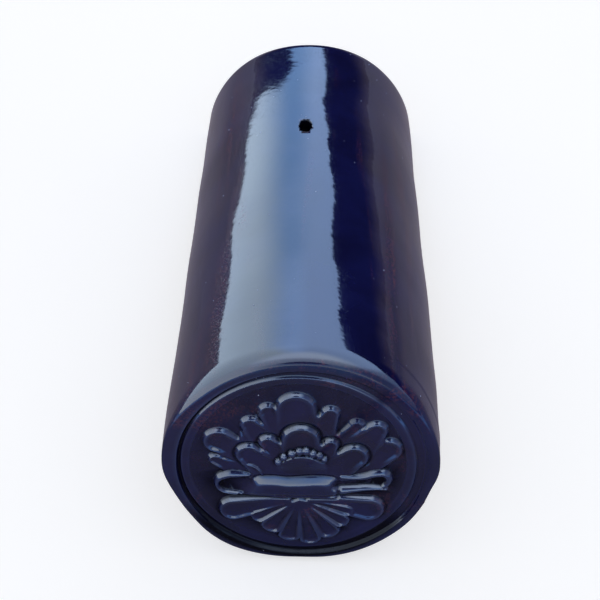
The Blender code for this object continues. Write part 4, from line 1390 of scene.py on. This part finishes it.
class OBJECT_OT_eave_tile(bpy.types.Operator):
    """Add the glazed tile with its moulded disc"""

    bl_idname = "object.glazed_eave_tile"
    bl_label = "Eave Tile"

    def execute(self, context):
        sizes = context.scene.eave_tile_sizes
        drift = bpy.data.node_groups.get("fired_colour_drift") or drift_group()
        mesh, web_end = build_tile_mesh(sizes)
        tile = bpy.data.objects.new("glazed_tile", mesh)
        context.scene.collection.objects.link(tile)
        relief = tile.vertex_groups.new(name="relief")
        relief.add(list(range(web_end)), 1.0, "REPLACE")
        soften = tile.modifiers.new("soften", "BEVEL")
        soften.limit_method = "WEIGHT"
        soften.width = EDGE_SOFTENING
        soften.segments = 3
        cutter = nail_hole_cutter(sizes)
        hole = tile.modifiers.new("nail_hole", "BOOLEAN")
        hole.operation = "DIFFERENCE"
        hole.object = cutter
        rest = sum(len(face.vertices) - 2 for face in mesh.polygons) - 6 * WEB_RINGS**2
        thin = tile.modifiers.new("thin_relief", "DECIMATE")
        thin.use_collapse_triangulate = True
        thin.vertex_group = relief.name
        thin.ratio = (rest + RELIEF_TRIANGLES) / (rest + 6 * WEB_RINGS**2)
        finished = evaluated_mesh(tile, "glazed_tile")
        tile.modifiers.clear()
        tile.vertex_groups.clear()
        tile.data = finished
        bpy.data.objects.remove(cutter)
        mark_glaze(finished, sizes)
        self.warp(finished)
        tilt = self.settle(finished, sizes)
        finished.materials.clear()
        finished.materials.append(glaze_material(context.scene.eave_tile_colours, drift, tilt))
        finished.shade_smooth()
        finished.set_sharp_from_angle(angle=math.radians(50.0))
        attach(tile, "root")
        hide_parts(TILE)
        return {"FINISHED"}

    def warp(self, mesh):
        """The slow waves of a hand-finished surface, over the whole tile alike."""
        places = read_places(mesh)
        normals = read_normals(mesh)
        rise = SLOW_WAVES[0] * random_waves(places, SLOW_WAVES[1], WAVE_SEED)
        rise = rise + SHORT_WAVES[0] * random_waves(places, SHORT_WAVES[1], WAVE_SEED + 1)
        places = places + normals * (rise - SLOW_WAVES[0])[:, None]
        mesh.vertices.foreach_set("co", places.astype(np.float32).ravel())
        mesh.update()

    def settle(self, mesh, sizes):
        """Lays the mesh down, and gives the tilt it lies at."""
        matrix = resting_matrix(mesh, sizes)
        mesh.transform(matrix)
        return -matrix.to_euler().x


class OBJECT_OT_glaze_specks(bpy.types.Operator):
    """Add the grit and blisters caught in the glaze"""

    bl_idname = "object.eave_tile_specks"
    bl_label = "Specks in the Glaze"

    def execute(self, context):
        tile = bpy.data.objects.get("glazed_tile")
        if tile is None:
            raise RuntimeError("add the tile before its specks")
        colours = context.scene.eave_tile_colours
        drift = bpy.data.node_groups["fired_colour_drift"]
        mesh = tile.data
        count = len(mesh.vertices)
        cover = np.empty(count, np.float32)
        mesh.attributes["glaze_cover"].data.foreach_get("value", cover)
        pool = np.empty(count, np.float32)
        mesh.attributes["glaze_pool_and_shade"].data.foreach_get("value", pool)
        sound = (cover > GRIT_FROM_EDGE).astype(float)
        front = read_places(mesh)[:, 1] < DISC_END
        grit = strew(
            "pale_specks", tile, sound * np.where(front, DISC_GRIT, 1.0), speck_material(colours, drift),
            density=900.0, smallest=0.35, largest=1.0, bead_radius=0.00052, flatness=0.45, seed=11,
        )
        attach(grit, "root")
        blisters = strew(
            "glaze_blisters", tile, np.clip(pool * 1.5, 0.0, 1.0) * front, tile.data.materials[0],
            density=60000.0, smallest=0.4, largest=1.0, bead_radius=0.00035, flatness=0.5, seed=5,
        )
        # blisters carry the near black of pooled glaze and painted shade around them
        for name, value in (("glaze_cover", 5.0), ("glaze_thin", 0.0), ("glaze_pool_and_shade", BLISTER_POOL_AND_SHADE)):
            if name in blisters.data.attributes:
                blisters.data.attributes.remove(blisters.data.attributes[name])
            write_attribute(blisters.data, name, np.full(len(blisters.data.vertices), value))
        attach(blisters, "root")
        return {"FINISHED"}


class SCENE_OT_eave_tile_stage(bpy.types.Operator):
    """Add the pale floor, the soft light and the camera"""

    bl_idname = "scene.eave_tile_stage"
    bl_label = "Studio Stage"

    def execute(self, context):
        colours = context.scene.eave_tile_colours
        bpy.ops.mesh.primitive_plane_add(size=24.0)
        floor = context.object
        floor.name = "floor"
        floor.data.materials.append(floor_material(colours))
        self.light(context)
        self.aim(context)
        context.scene.view_settings.view_transform = "Standard"
        return {"FINISHED"}

    def light(self, context):
        """A soft overcast dome, with the sky and the dark skyline that the glaze mirrors."""
        world = bpy.data.worlds.new("studio_dome")
        context.scene.world = world
        world.use_nodes = True
        tree = world.node_tree
        shine = tree.nodes["Background"]
        way = add_node(tree, "ShaderNodeTexCoord").outputs["Generated"]
        x, y, z = parts_of(tree, way)
        height = product(tree, maths(tree, "ARCSINE", z), 180.0 / math.pi)
        turn = product(tree, maths(tree, "ARCTAN2", x, y), 180.0 / math.pi)

        # open sky
        rear = blend_colours(tree, ramp(tree, height, *REAR_RISES), REAR_LOW, REAR_HIGH)
        rear = blend_colours(tree, ramp(tree, turn, *REAR_RIGHT_TURNS), rear, REAR_RIGHT)
        rear = blend_colours(tree, ramp(tree, turn, *REAR_LEFT_TURNS), rear, REAR_LEFT)
        front = blend_colours(tree, ramp(tree, height, *FRONT_RISES), FRONT_LOW, FRONT_HIGH)
        front = blend_colours(tree, ramp(tree, x, *FRONT_LEFT_SIDES), front, FRONT_LEFT)
        front = blend_colours(tree, ramp(tree, x, *FRONT_RIGHT_SIDES), front, FRONT_RIGHT)
        sky = blend_colours(tree, ramp(tree, y, *FRONT_STARTS), rear, front)
        sky = blend_colours(tree, ramp(tree, height, *OVERHEAD_RISES), sky, OVERHEAD)

        # dark skyline under it
        ragged = product(tree, less(tree, noise(tree, way, *SKYLINE_NOISE), 0.5), SKYLINE_RAGGED)
        at_right = ramp(tree, turn, *SKYLINE_MEETS)
        left = product(tree, ramp(tree, turn, *SKYLINE_LEFT), less(tree, 1.0, at_right))
        right = product(tree, ramp(tree, turn, *SKYLINE_RIGHT), at_right)
        ragged = product(tree, ragged, less(tree, 1.0, product(tree, at_right, SKYLINE_EVEN_RIGHT)))
        skyline = total(tree, left, right, ramp(tree, turn, *SKYLINE_END), ragged)
        skyline = maths(tree, "MAXIMUM", skyline, SKYLINE_LEAST)
        open_sky = ramp(tree, less(tree, height, skyline), -SKYLINE_SOFTNESS, SKYLINE_SOFTNESS)
        screen = blend_colours(tree, ramp(tree, height, *SCREEN_RISES), SCREEN_LOW, SCREEN_HIGH)
        seen = blend_colours(tree, open_sky, screen, sky)
        onlooker = vector_maths(tree, "DOT_PRODUCT", way, ONLOOKER_WAY)["Value"]
        seen = blend_colours(tree, ramp(tree, onlooker, *ONLOOKER_EDGE), seen, ONLOOKER)

        # what the glaze mirrors, what lights the tile and what the camera sees
        path = add_node(tree, "ShaderNodeLightPath")
        lit = blend_colours(tree, path.outputs["Is Glossy Ray"], STUDIO_LIGHT, seen)
        lit = blend_colours(tree, path.outputs["Is Camera Ray"], lit, BACKDROP)
        tree.links.new(lit, shine.inputs["Color"])

    def aim(self, context):
        """The camera at the photograph's viewing angle."""
        forward = Vector(CAMERA_LOOKS).normalized()
        right = forward.cross(Vector((0.0, 0.0, 1.0))).normalized()
        up = right.cross(forward)
        turned = Matrix((right, up, -forward)).transposed().to_4x4()
        camera = bpy.data.objects.new("camera", bpy.data.cameras.new("camera"))
        context.scene.collection.objects.link(camera)
        camera.matrix_world = Matrix.Translation(CAMERA_PLACE) @ turned @ Matrix.Rotation(CAMERA_ROLL, 4, "Z")
        camera.data.lens = CAMERA_LENS_MM
        camera.data.clip_start = 0.01
        context.scene.camera = camera


class VIEW3D_PT_eave_tile(bpy.types.Panel):
    """Lists the tile's settings and the steps that build it"""

    bl_label = "Eave Tile"
    bl_idname = "VIEW3D_PT_eave_tile"
    bl_space_type = "VIEW_3D"
    bl_region_type = "UI"
    bl_category = "Eave Tile"

    def draw(self, context):
        layout = self.layout
        for group in (context.scene.eave_tile_sizes, context.scene.eave_tile_colours):
            box = layout.box()
            for name in group.__annotations__:
                box.prop(group, name)
        for step in STEPS:
            layout.operator(step.bl_idname)


STEPS = (OBJECT_OT_eave_tile, OBJECT_OT_glaze_specks, SCENE_OT_eave_tile_stage)
CLASSES = (EaveTileSizes, EaveTileColours) + STEPS + (VIEW3D_PT_eave_tile,)


def register():
    for item in CLASSES:
        bpy.utils.register_class(item)
    bpy.types.Scene.eave_tile_sizes = bpy.props.PointerProperty(type=EaveTileSizes)
    bpy.types.Scene.eave_tile_colours = bpy.props.PointerProperty(type=EaveTileColours)


def unregister():
    del bpy.types.Scene.eave_tile_colours
    del bpy.types.Scene.eave_tile_sizes
    for item in reversed(CLASSES):
        bpy.utils.unregister_class(item)


def main():
    register()
    bpy.ops.object.glazed_eave_tile()
    bpy.ops.object.eave_tile_specks()
    bpy.ops.scene.eave_tile_stage()


if __name__ == "__main__":
    main()
